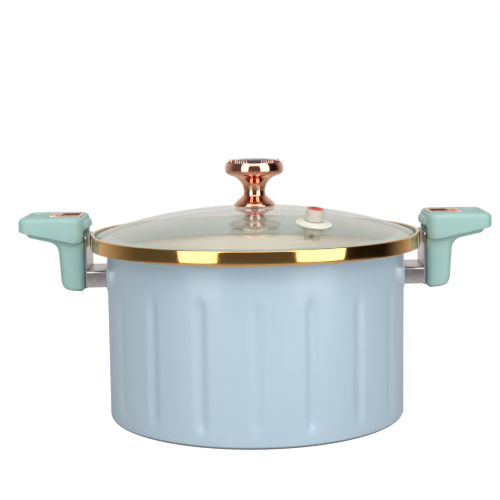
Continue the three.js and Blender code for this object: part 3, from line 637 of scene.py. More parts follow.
@dataclass(frozen=True)
class ClearGlass:
    """Tempered soda-lime glass: clear, faintly green, mirroring more the flatter it is seen."""

    name: str = "tempered_glass"
    tint: str = "#fdfefd"
    ior: float = 1.52
    roughness: float = 0.02
    wave: float = 45.0  # mm between the slow waves that tempering leaves
    wave_height: float = 0.02  # mm

    def material(self) -> bpy.types.Material:
        """Makes the finish, or gives the one made before.

        Returns:
            The material.
        """
        made = bpy.data.materials.get(self.name)
        if made is not None:
            return made
        made = bpy.data.materials.new(self.name)
        made.use_nodes = True
        tree = made.node_tree
        tree.nodes.clear()
        where = add_node(tree, "ShaderNodeTexCoord")
        wave = add_node(tree, "ShaderNodeTexNoise", {
            "Vector": where.outputs["Object"], "Scale": 1 / (self.wave * MM), "Detail": 1.0,
        })
        bump = add_node(tree, "ShaderNodeBump", {
            "Height": wave.outputs["Fac"], "Strength": 1.0, "Distance": self.wave_height * MM,
        })
        # Schlick's share, which is the same from either side, because a ray goes through unbent
        facing = add_node(tree, "ShaderNodeLayerWeight", {"Blend": 0.5, "Normal": bump.outputs[0]})
        flat = add_node(tree, "ShaderNodeMath", {0: facing.outputs["Facing"], 1: 5.0}, operation="POWER")
        head_on = ((self.ior - 1) / (self.ior + 1)) ** 2
        gloss = add_node(tree, "ShaderNodeMath", {
            0: flat.outputs[0], 1: 1 - head_on, 2: head_on,
        }, operation="MULTIPLY_ADD")
        clear = add_node(tree, "ShaderNodeBsdfTransparent", {"Color": linear(self.tint)})
        mirror = add_node(tree, "ShaderNodeBsdfGlossy", {
            "Color": (1.0, 1.0, 1.0, 1.0), "Roughness": self.roughness, "Normal": bump.outputs[0],
        })
        glass = add_node(tree, "ShaderNodeMixShader", {
            0: gloss.outputs[0], 1: clear.outputs[0], 2: mirror.outputs[0],
        })
        add_node(tree, "ShaderNodeOutputMaterial", {"Surface": glass.outputs[0]})
        return made


# Porcelain enamel, sprayed and fired: glassy, with a soft orange peel in the highlights.
ENAMEL = PotEnamel("fired_enamel", "#b8cdda", "#b0c6d4", Grain.PEEL, (0.30, 0.38), 60, 2.4, 0.02,
                   coat=0.25)
# Ceramic non-stick coat, sprayed and baked: warm white, a little duller than the enamel.
CERAMIC = Finish("ceramic_coat", "#fbf6ea", "#f5efe0", Grain.PEEL, (0.32, 0.42), 40, 1.6, 0.02)
# Glass-filled nylon, injection moulded in a spark-eroded tool: satin, with a fine even tooth.
MINT = Finish("moulded_nylon", "#a0c4bf", "#97bbb6", Grain.SPARK, (0.42, 0.52), 25, 0.55, 0.012)
# Titanium-nitride plate on polished stainless steel: a gold mirror with faint spinning lines.
GOLD = Finish("gold_plated_steel", "#edbf7a", "#e0ac64", Grain.TURNED, (0.05, 0.11), 22, 0.35, 0.0012,
              metallic=1.0)
# Copper-tin plate on a polished zinc casting: a rose mirror, softly uneven from the wheel.
ROSE = Finish("rose_gold_plate", "#f4b69d", "#eaa68b", Grain.CAST, (0.05, 0.1), 9, 3.5, 0.006,
              metallic=1.0)
# Stainless steel strip, folded and polished: a grey mirror with drawn-out polishing lines.
STEEL = Finish("polished_stainless", "#cdc8c8", "#beb9ba", Grain.BRUSHED, (0.20, 0.30), 12, 0.4, 0.002,
               metallic=1.0)
# Stainless base disc, turned on a lathe: satin, with lines round the axis.
DISC_STEEL = Finish("turned_stainless", "#c2c2c4", "#b2b2b6", Grain.TURNED, (0.24, 0.34), 20, 0.5, 0.01,
                    metallic=1.0)
# Cure-moulded silicone rubber: matt and faintly dusty, with some light passing under the skin.
SEAL = Finish("silicone_seal", "#b2c8c4", "#a8bfbb", Grain.SPARK, (0.5, 0.62), 14, 0.8, 0.01,
              ior=1.41)
# Natural silicone of the valve's grommet: milky and slightly green-yellow.
MILKY = Finish("milky_silicone", "#e4e4d8", "#dad9ca", Grain.SPARK, (0.4, 0.5), 8, 0.6, 0.008,
               ior=1.41, scatter=0.3)
# Uncoloured acetal, moulded: translucent cream.
ACETAL = Finish("natural_acetal", "#ddd6cb", "#d1c9bb", Grain.SPARK, (0.32, 0.42), 7, 0.5, 0.006,
                ior=1.48, scatter=0.3)
# Red acetal, moulded and glossy.
RED = Finish("red_acetal", "#cb1734", "#b8102c", Grain.SPARK, (0.16, 0.24), 6, 0.6, 0.004,
             ior=1.48, coat=0.4)
# Turned brass with a thin dull film.
BRASS = Finish("turned_brass", "#bf9a56", "#a98645", Grain.TURNED, (0.22, 0.34), 5, 0.3, 0.004,
               metallic=1.0)
# Black cut glass: nearly opaque, with polished facets.
STONE = Finish("black_cut_glass", "#08080b", "#101014", Grain.CAST, (0.02, 0.05), 12, 4.0, 0.0005,
               ior=1.42)
GLASS = ClearGlass()


def wear(piece: bpy.types.Object, finish: Finish | ClearGlass) -> bpy.types.Object:
    """Gives a piece one finish all over, and returns it.

    Args:
        piece: the object.
        finish: what it is made of.

    Returns:
        The same object.
    """
    piece.data.materials.clear()
    piece.data.materials.append(finish.material())
    return piece


def hand_over(piece: bpy.types.Object, body: str, slot: str, *nodes: str) -> None:
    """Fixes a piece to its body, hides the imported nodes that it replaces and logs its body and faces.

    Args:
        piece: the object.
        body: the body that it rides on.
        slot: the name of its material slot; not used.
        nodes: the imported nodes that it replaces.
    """
    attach(piece, body)
    if nodes:
        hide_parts(*nodes)
    log.info("%s rides on %s: %d faces", piece.name, body, len(piece.data.polygons))


def dress_node(node: str, finish: Finish) -> None:
    """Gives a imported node, whose own shape stays, its finish.

    Args:
        node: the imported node.
        finish: what it is made of.
    """
    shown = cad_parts[node]
    for slot in shown.material_slots:
        slot.material = finish.material()
    log.info("%s keeps its own shape in %s", node, finish.name)


# ---------------------------------------------------------------- pot


@dataclass
class Pot:
    """Spun pot with pressed flutes, a flat rim flange, two bosses and its base disc."""

    radius: float = 124.3
    wall: float = 3.8
    height: float = 144.0
    floor: float = 6.3
    corner: float = 3.0
    bowl: float = 9.0
    neck: float = 6.0  # from the flange down to where the wall starts to flare
    flange: float = 134.5
    flange_thickness: float = 2.2
    flange_round: float = 0.8
    flute_count: int = 18
    flute_width: float = 15.0
    flute_depth: float = 2.0
    flute_low: float = 11.0
    flute_high: float = 115.0
    boss_face: float = 123.0
    boss_half: float = 27.0
    boss_low: float = 108.5
    boss_high: float = 127.5
    boss_corner: float = 3.0
    # how far below the face and how far in each ring of the boss's rounded edge lies
    boss_edge: tuple[Point2, ...] = ((1.0, 0.0), (0.7, 0.1), (0.3, 0.35), (0.1, 0.7), (0.0, 1.1))
    disc_radius: float = 96.0
    disc_thickness: float = 2.0
    disc_margin: float = 5.0  # plain edge round the disc's grooves
    groove_pitch: float = 8.0
    groove_depth: float = 0.3
    sides: int = 576

    def outline(self) -> list[Point2]:
        """The pot's section, from the axis under the floor round to the axis above it.

        Returns:
            Points of (radius, height).
        """
        inner = self.radius - self.wall
        recess = self.disc_radius + GAP
        roof = self.disc_thickness + GAP
        under = self.height - self.flange_thickness
        rows = 34
        low, high = self.corner, under - self.neck
        wall = [(self.radius, low + (high - low) * i / rows) for i in range(1, rows + 1)]
        rim = softened([
            (self.radius, high), (self.radius, under - 2.6, 2.5), (self.radius + 3.2, under, 2.2),
            (self.flange, under, self.flange_round), (self.flange, self.height, self.flange_round),
            (inner, self.height, 2 * self.flange_round), (inner, self.height - 20),
        ], loop=False)
        bowl = arc((inner - self.bowl, self.floor + self.bowl), self.bowl, 0, -90, 8)
        lip = 0.4  # the broken edge of the recess under the pot
        return [
            (0, roof), (recess * 0.5, roof), (recess, roof), (recess, lip), (recess + lip, 0),
            *arc((self.radius - self.corner, self.corner), self.corner, -90, 0, 8),
            *wall, *rim[1:], *bowl, (inner * 0.5, self.floor), (0, self.floor),
        ]

    def flute_tree(self) -> bpy.types.NodeTree:
        """The tree that presses round-ended flutes into the outer wall.

        Returns:
            A tree with the flutes' count and sizes as inputs, in metres and radians.
        """
        tree, want = new_tree("pressed_flutes", {
            "Count": float(self.flute_count), "First": -math.pi / 2, "Wall radius": self.radius * MM,
            "Width": self.flute_width * MM, "Depth": self.flute_depth * MM,
            "Low": self.flute_low * MM, "High": self.flute_high * MM,
        })
        near_wall = 0.5 * MM
        sums = reckoned(tree, {**want, **polar(tree)}, [
            # how far round, from the middle of the nearest flute
            ("step", "DIVIDE", 2 * math.pi, "Count"),
            ("turn", "ARCTAN2", "y", "x"),
            ("angle", "SUBTRACT", "turn", "First"),
            ("steps", "DIVIDE", "angle", "step"),
            ("nearest", "ROUND", "steps"),
            ("middle angle", "MULTIPLY", "nearest", "step"),
            ("aside", "SUBTRACT", "angle", "middle angle"),
            ("across", "MULTIPLY", "aside", "Wall radius"),
            # how far past the straight stretch
            ("radius", "DIVIDE", "Width", 2.0),
            ("ends", "ADD", "Low", "High"),
            ("middle", "DIVIDE", "ends", 2.0),
            ("length", "SUBTRACT", "High", "Low"),
            ("half length", "DIVIDE", "length", 2.0),
            ("straight", "SUBTRACT", "half length", "radius"),
            ("rise", "SUBTRACT", "z", "middle"),
            ("from middle", "ABSOLUTE", "rise"),
            ("past", "SUBTRACT", "from middle", "straight"),
            ("beyond", "MAXIMUM", "past", 0.0),
            ("across squared", "MULTIPLY", "across", "across"),
            ("beyond squared", "MULTIPLY", "beyond", "beyond"),
            ("squared", "ADD", "across squared", "beyond squared"),
            ("away", "SQRT", "squared"),
            # a soft hollow: a raised cosine from the middle to the edge
            ("ratio", "DIVIDE", "away", "radius"),
            ("share", "MINIMUM", "ratio", 1.0),
            ("phase", "MULTIPLY", "share", math.pi),
            ("wave", "COSINE", "phase"),
            ("raised", "ADD", "wave", 1.0),
            ("hollow", "MULTIPLY", "raised", 0.5),
            ("on wall", "COMPARE", "reach", "Wall radius", near_wall),
            ("masked", "MULTIPLY", "hollow", "on wall"),
            ("inwards", "MULTIPLY", "Depth", -1.0),
            ("press", "MULTIPLY", "masked", "inwards"),
        ])
        offset = add_node(tree, "ShaderNodeVectorMath", {
            0: sums["outward"], "Scale": sums["press"],
        }, operation="SCALE")
        pressed = add_node(tree, "GeometryNodeSetPosition", {
            "Geometry": want["Geometry"], "Offset": offset.outputs[0],
        })
        close_tree(tree, pressed.outputs[0], ENAMEL.material())
        return tree

    def boss(self, turn: Matrix) -> bpy.types.Object:
        """The flat pad that one bracket stands on, turned to its side.

        Args:
            turn: the turn to its side.

        Returns:
            The pad, which is joined to the pot.
        """
        root = self.radius - self.wall + 0.7
        middle = (self.boss_low + self.boss_high) / 2
        half_height = (self.boss_high - self.boss_low) / 2
        rings = [(root, 0.0), *((self.boss_face - below, inset) for below, inset in self.boss_edge)]
        layers = []
        for rise, inset in rings:
            corner = self.boss_corner - inset / 2
            layers.append((rounded_plan(
                inset - half_height, half_height - inset, self.boss_half - inset, corner, corner), rise))
        upright = Matrix.Translation((0, 0, middle)) @ Matrix.Rotation(math.pi / 2, 4, "Y")
        return lofted(layers).piece("boss", turn @ upright)

    def body(self) -> bpy.types.Object:
        """The pot itself, blue outside and cream inside.

        Returns:
            The pot.
        """
        pot = turned(self.outline(), self.sides).piece("pot_body_skin")
        grown(pot, self.flute_tree(), {"Width": self.flute_width * MM, "Depth": self.flute_depth * MM})
        flat = box_shell((self.boss_face, -self.boss_half, self.boss_low),
                         (self.radius + 2, self.boss_half, self.boss_high))
        for side in Side:
            combined(pot, flat.piece("flat", side.turn), "DIFFERENCE")
            combined(pot, self.boss(side.turn), "UNION")
        wear(pot, ENAMEL)
        pot.data.materials.append(CERAMIC.material())
        inside = (self.radius - self.wall + 0.4) * MM
        bed = (self.disc_thickness + 1) * MM
        top = (self.height - 0.1) * MM
        for face in pot.data.polygons:
            middle = face.center
            within = math.hypot(middle.x, middle.y) < inside and middle.z > bed
            face.material_index = int(within or middle.z > top)
        return settled(pot)

    def disc_tree(self) -> bpy.types.NodeTree:
        """The tree that turns shallow grooves into the base disc's underside.

        Returns:
            A tree with the grooves' pitch and depth and the grooved radius as inputs.
        """
        tree, want = new_tree("turned_grooves", {
            "Pitch": self.groove_pitch * MM, "Depth": self.groove_depth * MM,
            "Margin": (self.disc_radius - self.disc_margin) * MM,
        })
        underside = 0.5 * MM
        sums = reckoned(tree, {**want, **polar(tree)}, [
            ("turns", "DIVIDE", "reach", "Pitch"),
            ("angle", "MULTIPLY", "turns", 2 * math.pi),
            ("wave", "COSINE", "angle"),
            ("near", "LESS_THAN", "reach", "Margin"),
            ("under", "LESS_THAN", "z", underside),
            ("both", "MULTIPLY", "near", "under"),
        ])
        # a flat-bottomed groove between 20% and 90% of the wave
        deep = add_node(tree, "ShaderNodeMapRange", {
            "Value": sums["wave"], "From Min": 0.2, "From Max": 0.9, "To Max": want["Depth"],
        }).outputs[0]
        sums = reckoned(tree, {**sums, "deep": deep}, [("lift", "MULTIPLY", "deep", "both")])
        cut = add_node(tree, "GeometryNodeSetPosition", {
            "Geometry": want["Geometry"],
            "Offset": add_node(tree, "ShaderNodeCombineXYZ", {2: sums["lift"]}).outputs[0],
        })
        close_tree(tree, cut.outputs[0], DISC_STEEL.material())
        return tree

    def disc(self) -> bpy.types.Object:
        """The steel disc that the pot stands on, with grooves under it.

        Returns:
            The disc.
        """
        rows = 90
        under = [(self.disc_radius * i / rows, 0.0) for i in range(rows)]
        edge = softened([
            (self.disc_radius - 2, 0), (self.disc_radius, 0, 0.5),
            (self.disc_radius, self.disc_thickness, 0.3), (0, self.disc_thickness),
        ], loop=False)
        shell = turned([*under[:-2], *edge], 128)
        return grown(shell.piece("base_disc_skin"), self.disc_tree(), {"Pitch": self.groove_pitch * MM})

    def build(self) -> None:
        """Makes both pieces and hands them over."""
        hand_over(self.body(), "pot", "enamel_pot", "pot_body")
        hand_over(self.disc(), "pot", "steel", "base_disc")


# ---------------------------------------------------------------- lid


@dataclass
class Lid:
    """Domed glass in a plated hoop, its seal and the jewelled knob."""

    dome_top: float = 174.5
    dome_rise: float = 21.36
    dome_radius: float = 132.3
    dome_power: float = 2.12
    glass_edge: float = 135.2
    glass_thickness: float = 4.0
    knob_hole: float = 4.5
    valve_hole: float = 8.45
    hoop_radius: float = 138.0
    hoop_low: float = 142.6
    hoop_high: float = 154.1
    hoop_lip: float = 3.6
    hoop_curl: float = 1.5
    sheet: float = 0.9
    seal_outer: float = 136.8
    seal_web: float = 135.5
    skirt_outer: float = 119.9
    skirt_inner: float = 117.7
    skirt_low: float = 138.2
    mouth: float = 144.0
    knob_foot: float = 174.8
    cup_radius: float = 22.1
    cup_floor: float = 208.1
    bore_radius: float = 5.9
    bore_depth: float = 17.0
    bezel_inner: float = 19.2
    bezel_outer: float = 21.8
    bezel_height: float = 2.4
    claw_count: int = 60
    claw_radius: float = 0.9
    claw_length: float = 2.8
    claw_lean: float = 14.0  # degrees inwards
    stone_radius: float = 18.9
    table_radius: float = 9.5
    girdle: float = 2.6
    crown: float = 3.5
    facets: int = 16
    sides: int = 256
    knob_sides: int = 128

    def dome(self, radius: float) -> float:
        """Height of the glass's upper face at a distance from the axis."""
        return self.dome_top - self.dome_rise * (radius / self.dome_radius) ** self.dome_power

    def glass(self, valve: Matrix) -> bpy.types.Object:
        """The domed glass with its two holes.

        Args:
            valve: where the valve stands on the dome.

        Returns:
            The glass.
        """
        rows = 22
        spread = self.glass_edge - self.knob_hole
        radii = [self.knob_hole + spread * i / rows for i in range(rows + 1)]
        upper = [(r, self.dome(r)) for r in radii]
        lower = [(r, h - self.glass_thickness) for r, h in reversed(upper)]
        nose = arc((self.glass_edge - 2, upper[-1][1] - self.glass_thickness / 2), 2, 60, -60, 4)
        glass = turned([*upper[:-1], *nose, *lower[1:]], self.sides).piece("lid_glass_skin")
        reach = 3 * self.glass_thickness
        hole = turned([(0, -reach), (self.valve_hole, -reach), (self.valve_hole, reach), (0, reach)], 48)
        combined(glass, hole.piece("hole", valve), "DIFFERENCE")
        return settled(wear(glass, GLASS), math.radians(50))

    def hoop(self) -> bpy.types.Object:
        """The plated hoop, with a lip over the glass and a curled lower edge.

        Returns:
            The hoop.
        """
        inner = self.hoop_radius - self.sheet
        section = softened([
            (self.hoop_radius, self.hoop_low, 0.45), (self.hoop_radius, self.hoop_high, 1.3),
            (self.hoop_radius - self.hoop_lip, self.hoop_high, 0.3),
            (self.hoop_radius - self.hoop_lip, self.hoop_high - self.sheet, 0.3),
            (inner, self.hoop_high - self.sheet, 0.4), (inner, self.hoop_low + self.sheet, 0.4),
            (self.hoop_radius - self.hoop_curl, self.hoop_low + self.sheet, 0.3),
            (self.hoop_radius - self.hoop_curl, self.hoop_low, 0.3),
        ], steps=5)
        return settled(wear(turned(section, self.sides).piece("lid_hoop_skin"), GOLD))

    def seal(self) -> bpy.types.Object:
        """The silicone seal: a web round the glass, a seat on the flange and a skirt.

        Returns:
            The seal.
        """
        seat = self.mouth + GAP
        top = self.hoop_high - self.sheet - GAP
        middle = (self.seal_web + self.skirt_outer) / 2

        def under(radius: float) -> float:
            """Height just below the glass."""
            return self.dome(radius) - self.glass_thickness - GAP

        section = softened([
            (self.skirt_outer, self.skirt_low, 0.7), (self.skirt_outer, seat, 0.4),
            (self.seal_outer, seat, 0.4), (self.seal_outer, top, 0.4), (self.seal_web, top, 0.4),
            (self.seal_web, under(self.seal_web)), (middle, under(middle)),
            (self.skirt_outer - 1.4, under(self.skirt_outer - 1.4), 0.6),
            (self.skirt_inner, seat + 2, 1.5), (self.skirt_inner, self.skirt_low, 0.7),
        ])
        return settled(wear(turned(section, self.sides).piece("lid_gasket_skin"), SEAL))

    def knob(self) -> bpy.types.Object:
        """The baluster knob, with its cup and its bore.

        Returns:
            The knob.
        """
        foot = self.knob_foot
        knots = [
            (16.4, 0), (17.2, 0.9), (16.8, 2.2), (14.5, 4.7), (11.5, 7.2), (9.4, 9.7), (9.0, 13.6),
            (9.6, 17), (10.7, 19.6), (12.8, 22.1), (15.9, 24.6), (21.9, 27.1), (24.2, 29.6), (24.4, 32),
            (24.0, 34.6), (23.1, 36.9),
        ]
        skin = flowing([(r, foot + h) for r, h in knots], 5)
        lip = skin[-1][1]
        cup = softened([
            skin[-1], (self.cup_radius, lip, 0.3), (self.cup_radius, self.cup_floor, 0.5),
            (0, self.cup_floor),
        ], loop=False)
        end = foot + self.bore_depth
        bore = [(0, end), (self.bore_radius, end), (self.bore_radius, foot)]
        knob = turned([*skin, *cup[1:], *bore], self.knob_sides).piece("knob_body_skin")
        return settled(wear(knob, ROSE), math.radians(45))

    def claw_tree(self) -> bpy.types.NodeTree:
        """The tree that stands claws round the bezel, each leaning over the stone.

        Returns:
            A tree with the count, the ring's radius and height and the claws' size as inputs.
        """
        ring_radius, ring_height = self.claw_ring()
        tree, want = new_tree("bezel_claws", {
            "Claws": self.claw_count, "Ring radius": ring_radius, "Height": ring_height,
            "Claw radius": self.claw_radius * MM, "Length": self.claw_length * MM,
        })
        circle = add_node(tree, "GeometryNodeMeshCircle", {
            "Vertices": want["Claws"], "Radius": want["Ring radius"],
        })
        claw = add_node(tree, "GeometryNodeMeshCone", {
            "Vertices": 6, "Radius Top": 0.1 * MM, "Radius Bottom": want["Claw radius"],
            "Depth": want["Length"],
        })
        tilt = add_node(tree, "FunctionNodeAlignEulerToVector", {
            "Vector": add_node(tree, "GeometryNodeInputPosition").outputs[0],
        }, axis="X")
        lean = add_node(tree, "FunctionNodeRotateEuler", {
            "Rotation": tilt.outputs[0], "Rotate By": (0.0, -math.radians(self.claw_lean), 0.0),
        }, space="LOCAL")
        spread = add_node(tree, "GeometryNodeInstanceOnPoints", {
            "Points": circle.outputs[0], "Instance": claw.outputs[0], "Rotation": lean.outputs[0],
        })
        up = add_node(tree, "ShaderNodeCombineXYZ", {2: want["Height"]})
        raised = add_node(tree, "GeometryNodeTransform", {
            "Geometry": spread.outputs[0], "Translation": up.outputs[0],
        })
        both = add_node(tree, "GeometryNodeJoinGeometry")
        tree.links.new(raised.outputs[0], both.inputs[0])
        tree.links.new(want["Geometry"], both.inputs[0])
        close_tree(tree, both.outputs[0], ROSE.material())
        return tree

    def claw_ring(self) -> Point2:
        """Radius and height in metres of the ring that the claws' middles stand on."""
        height = self.cup_floor + GAP + self.bezel_height + 0.6
        return (self.bezel_outer - 1) * MM, height * MM

    def bezel(self) -> bpy.types.Object:
        """The ring that holds the stone, with its claws.

        Returns:
            The ring and its claws as one mesh.
        """
        seat = self.cup_floor + GAP
        section = softened([
            (self.bezel_inner, seat), (self.bezel_outer, seat, 0.3),
            (self.bezel_outer, seat + self.bezel_height, 0.4),
            (self.bezel_inner, seat + self.bezel_height - 0.4, 0.3),
        ])
        ring = turned(section, self.knob_sides).piece("knob_bezel_skin")
        ring_radius, ring_height = self.claw_ring()
        return grown(ring, self.claw_tree(), {
            "Claws": self.claw_count, "Ring radius": ring_radius, "Height": ring_height,
        })

    def stone(self) -> bpy.types.Object:
        """The cut stone: a girdle, a crown of kite and star facets and a flat table.

        Returns:
            The stone.
        """
        seat = self.cup_floor + GAP
        girdle = seat + self.girdle
        radius, count = self.stone_radius, self.facets
        # each row's radius, height, turn in facets and number of corners
        rows = [
            (radius, seat, 0.0, count), (radius, girdle, 0.0, count),
            (radius * 0.93, girdle + self.crown * 0.45, 0.5, count),
            (radius * 0.76, girdle + self.crown * 0.81, 0.5, count // 2),
            (self.table_radius, girdle + self.crown, 0.0, count // 2),
        ]
        shell = Shell()
        for reach, height, shift, number in rows:
            angles = [2 * math.pi * (i + shift) / number for i in range(number)]
            shell.ring((reach * math.cos(a), reach * math.sin(a), height) for a in angles)
        stone = shell.piece("knob_crystal_skin")
        work = bmesh.new()
        work.from_mesh(stone.data)
        bmesh.ops.convex_hull(work, input=work.verts)
        bmesh.ops.recalc_face_normals(work, faces=work.faces)
        work.to_mesh(stone.data)
        work.free()
        bevelled(stone, 0.12, 1, 4)
        return settled(wear(stone, STONE), math.radians(2))

    def build(self, valve: Matrix) -> None:
        """Makes the lid's pieces and hands them over.

        Args:
            valve: where the valve stands on the dome.
        """
        hand_over(self.glass(valve), "lid", "lid_glass", "lid_glass")
        hand_over(self.hoop(), "lid", "gold_steel", "lid_hoop")
        hand_over(self.seal(), "lid", "silicone", "lid_gasket")
        hand_over(self.knob(), "lid", "rose_gold", "knob_body")
        hand_over(self.bezel(), "lid", "rose_gold", "knob_bezel")
        hand_over(self.stone(), "lid", "crystal", "knob_crystal")
        dress_node("knob_insert", BRASS)
        dress_node("knob_washer", SEAL)


# ---------------------------------------------------------------- float valve


@dataclass
class FloatValve:
    """Grommet, tube with prongs and the red float, square to the glass at their place."""

    orbit: float = 85.2
    azimuth: float = -57.2
    lean: float = 11.8096
    tube_radius: float = 7.45
    tube_foot: float = 3.9
    tube_top: float = 13.1
    head_bore: float = 6.75
    neck: float = 6.35
    bore: float = 5.0
    shelf: float = 8.6
    prong_end: float = -12.4
    web_top: float = -4.0
    web: float = 2.0
    slot: float = 3.4
    stem: float = 2.2
    stem_clearance: float = 0.5
    head: float = 6.45
    head_top: float = 12.9
    dish: float = 0.9  # depth of the hollow in the float's head
    flange: float = 14.4
    grommet_wall: float = 1.5
    grommet_height: float = 3.3
    lip: float = 9.3
    lip_height: float = 1.4
    travel: float = 3.0
    sides: int = 72

    def place(self, lid: Lid) -> Matrix:
        """Where the valve stands.

        Args:
            lid: the lid, for the height of its glass.

        Returns:
            The matrix, with millimetres in its translation.
        """
        turn = math.radians(self.azimuth)
        foot = (self.orbit * math.cos(turn), self.orbit * math.sin(turn), lid.dome(self.orbit))
        upright = Matrix.Rotation(turn, 4, "Z") @ Matrix.Rotation(math.radians(self.lean), 4, "Y")
        return Matrix.Translation(foot) @ upright

    def grommet(self, place: Matrix) -> bpy.types.Object:
        """The stepped silicone flange and the lip that holds it under the glass.

        Args:
            place: where the valve stands.

        Returns:
            The grommet.
        """
        inner = self.neck + GAP
        outer = inner + self.grommet_wall
        below = self.web_top - 2 * GAP
        end = below - self.lip_height
        high = self.grommet_height
        section = softened([
            (inner, end, 0.3), (self.lip - 0.8, end, 0.5), (self.lip, below, 0.4), (outer, below),
            (outer, 2 * GAP), (self.flange, 2 * GAP, 0.4), (self.flange, 1.5, 0.5), (11.8, 1.9, 0.5),
            (10.6, 2.9, 0.7), (inner + 1.2, high, 0.4), (inner, high, 0.3),
        ])
        return settled(wear(turned(section, 96).piece("valve_grommet_skin", place), MILKY))

    def housing(self, place: Matrix) -> bpy.types.Object:
        """The tube, with a shelf for the float and four prongs under the glass.

        Args:
            place: where the valve stands.

        Returns:
            The tube.
        """
        hole = self.stem + self.stem_clearance
        under = self.web_top - self.web
        throat = self.bore - 0.6
        section = softened([
            (self.bore, self.prong_end, 0.4), (self.neck, self.prong_end, 0.7),
            (self.neck, self.tube_foot), (self.tube_radius, self.tube_foot, 0.4),
            (self.tube_radius, self.tube_top, 0.35),
            (self.head_bore, self.tube_top, 0.25), (self.head_bore, self.shelf, 0.3),
            (throat, self.shelf), (throat, self.web_top), (hole, self.web_top),
            (hole, under), (self.bore, under),
        ])
        tube = turned(section, self.sides).piece("valve_housing_skin", place)
        reach, half = self.neck + 2, self.slot / 2
        for angle in (45, 135):
            slot = box_shell((-reach, -half, self.prong_end - 2), (reach, half, under - 1))
            turn = Matrix.Rotation(math.radians(angle), 4, "Z")
            combined(tube, slot.piece("slot", place @ turn), "DIFFERENCE")
        return settled(wear(tube, ACETAL))

    def float_pin(self, place: Matrix) -> bpy.types.Object:
        """The red float: a dished head on a stem.

        Args:
            place: where the valve stands.

        Returns:
            The float.
        """
        end = self.web_top - self.web - self.travel - 2
        seat = self.shelf + GAP
        hollow = self.head_top - self.dish
        section = softened([
            (0, end), (self.stem, end, 0.4), (self.stem, seat, 0.3), (self.head, seat, 0.3),
            (self.head, self.head_top, 0.6), (self.head - 1.3, self.head_top, 0.5),
            (2.4, hollow, 1.6), (0, hollow),
        ], steps=5, loop=False)
        return settled(wear(turned(section, self.sides).piece("valve_float_skin", place), RED))

    def build(self, lid: Lid) -> None:
        """Makes the valve's pieces and hands them over.

        Args:
            lid: the lid that carries the valve.
        """
        place = self.place(lid)
        hand_over(self.grommet(place), "lid", "cream_plastic", "valve_grommet")
        hand_over(self.housing(place), "lid", "cream_plastic", "valve_housing")
        hand_over(self.float_pin(place), "float", "red_plastic", "valve_float")
        dress_node("valve_float_clip", ACETAL)


# ---------------------------------------------------------------- handles


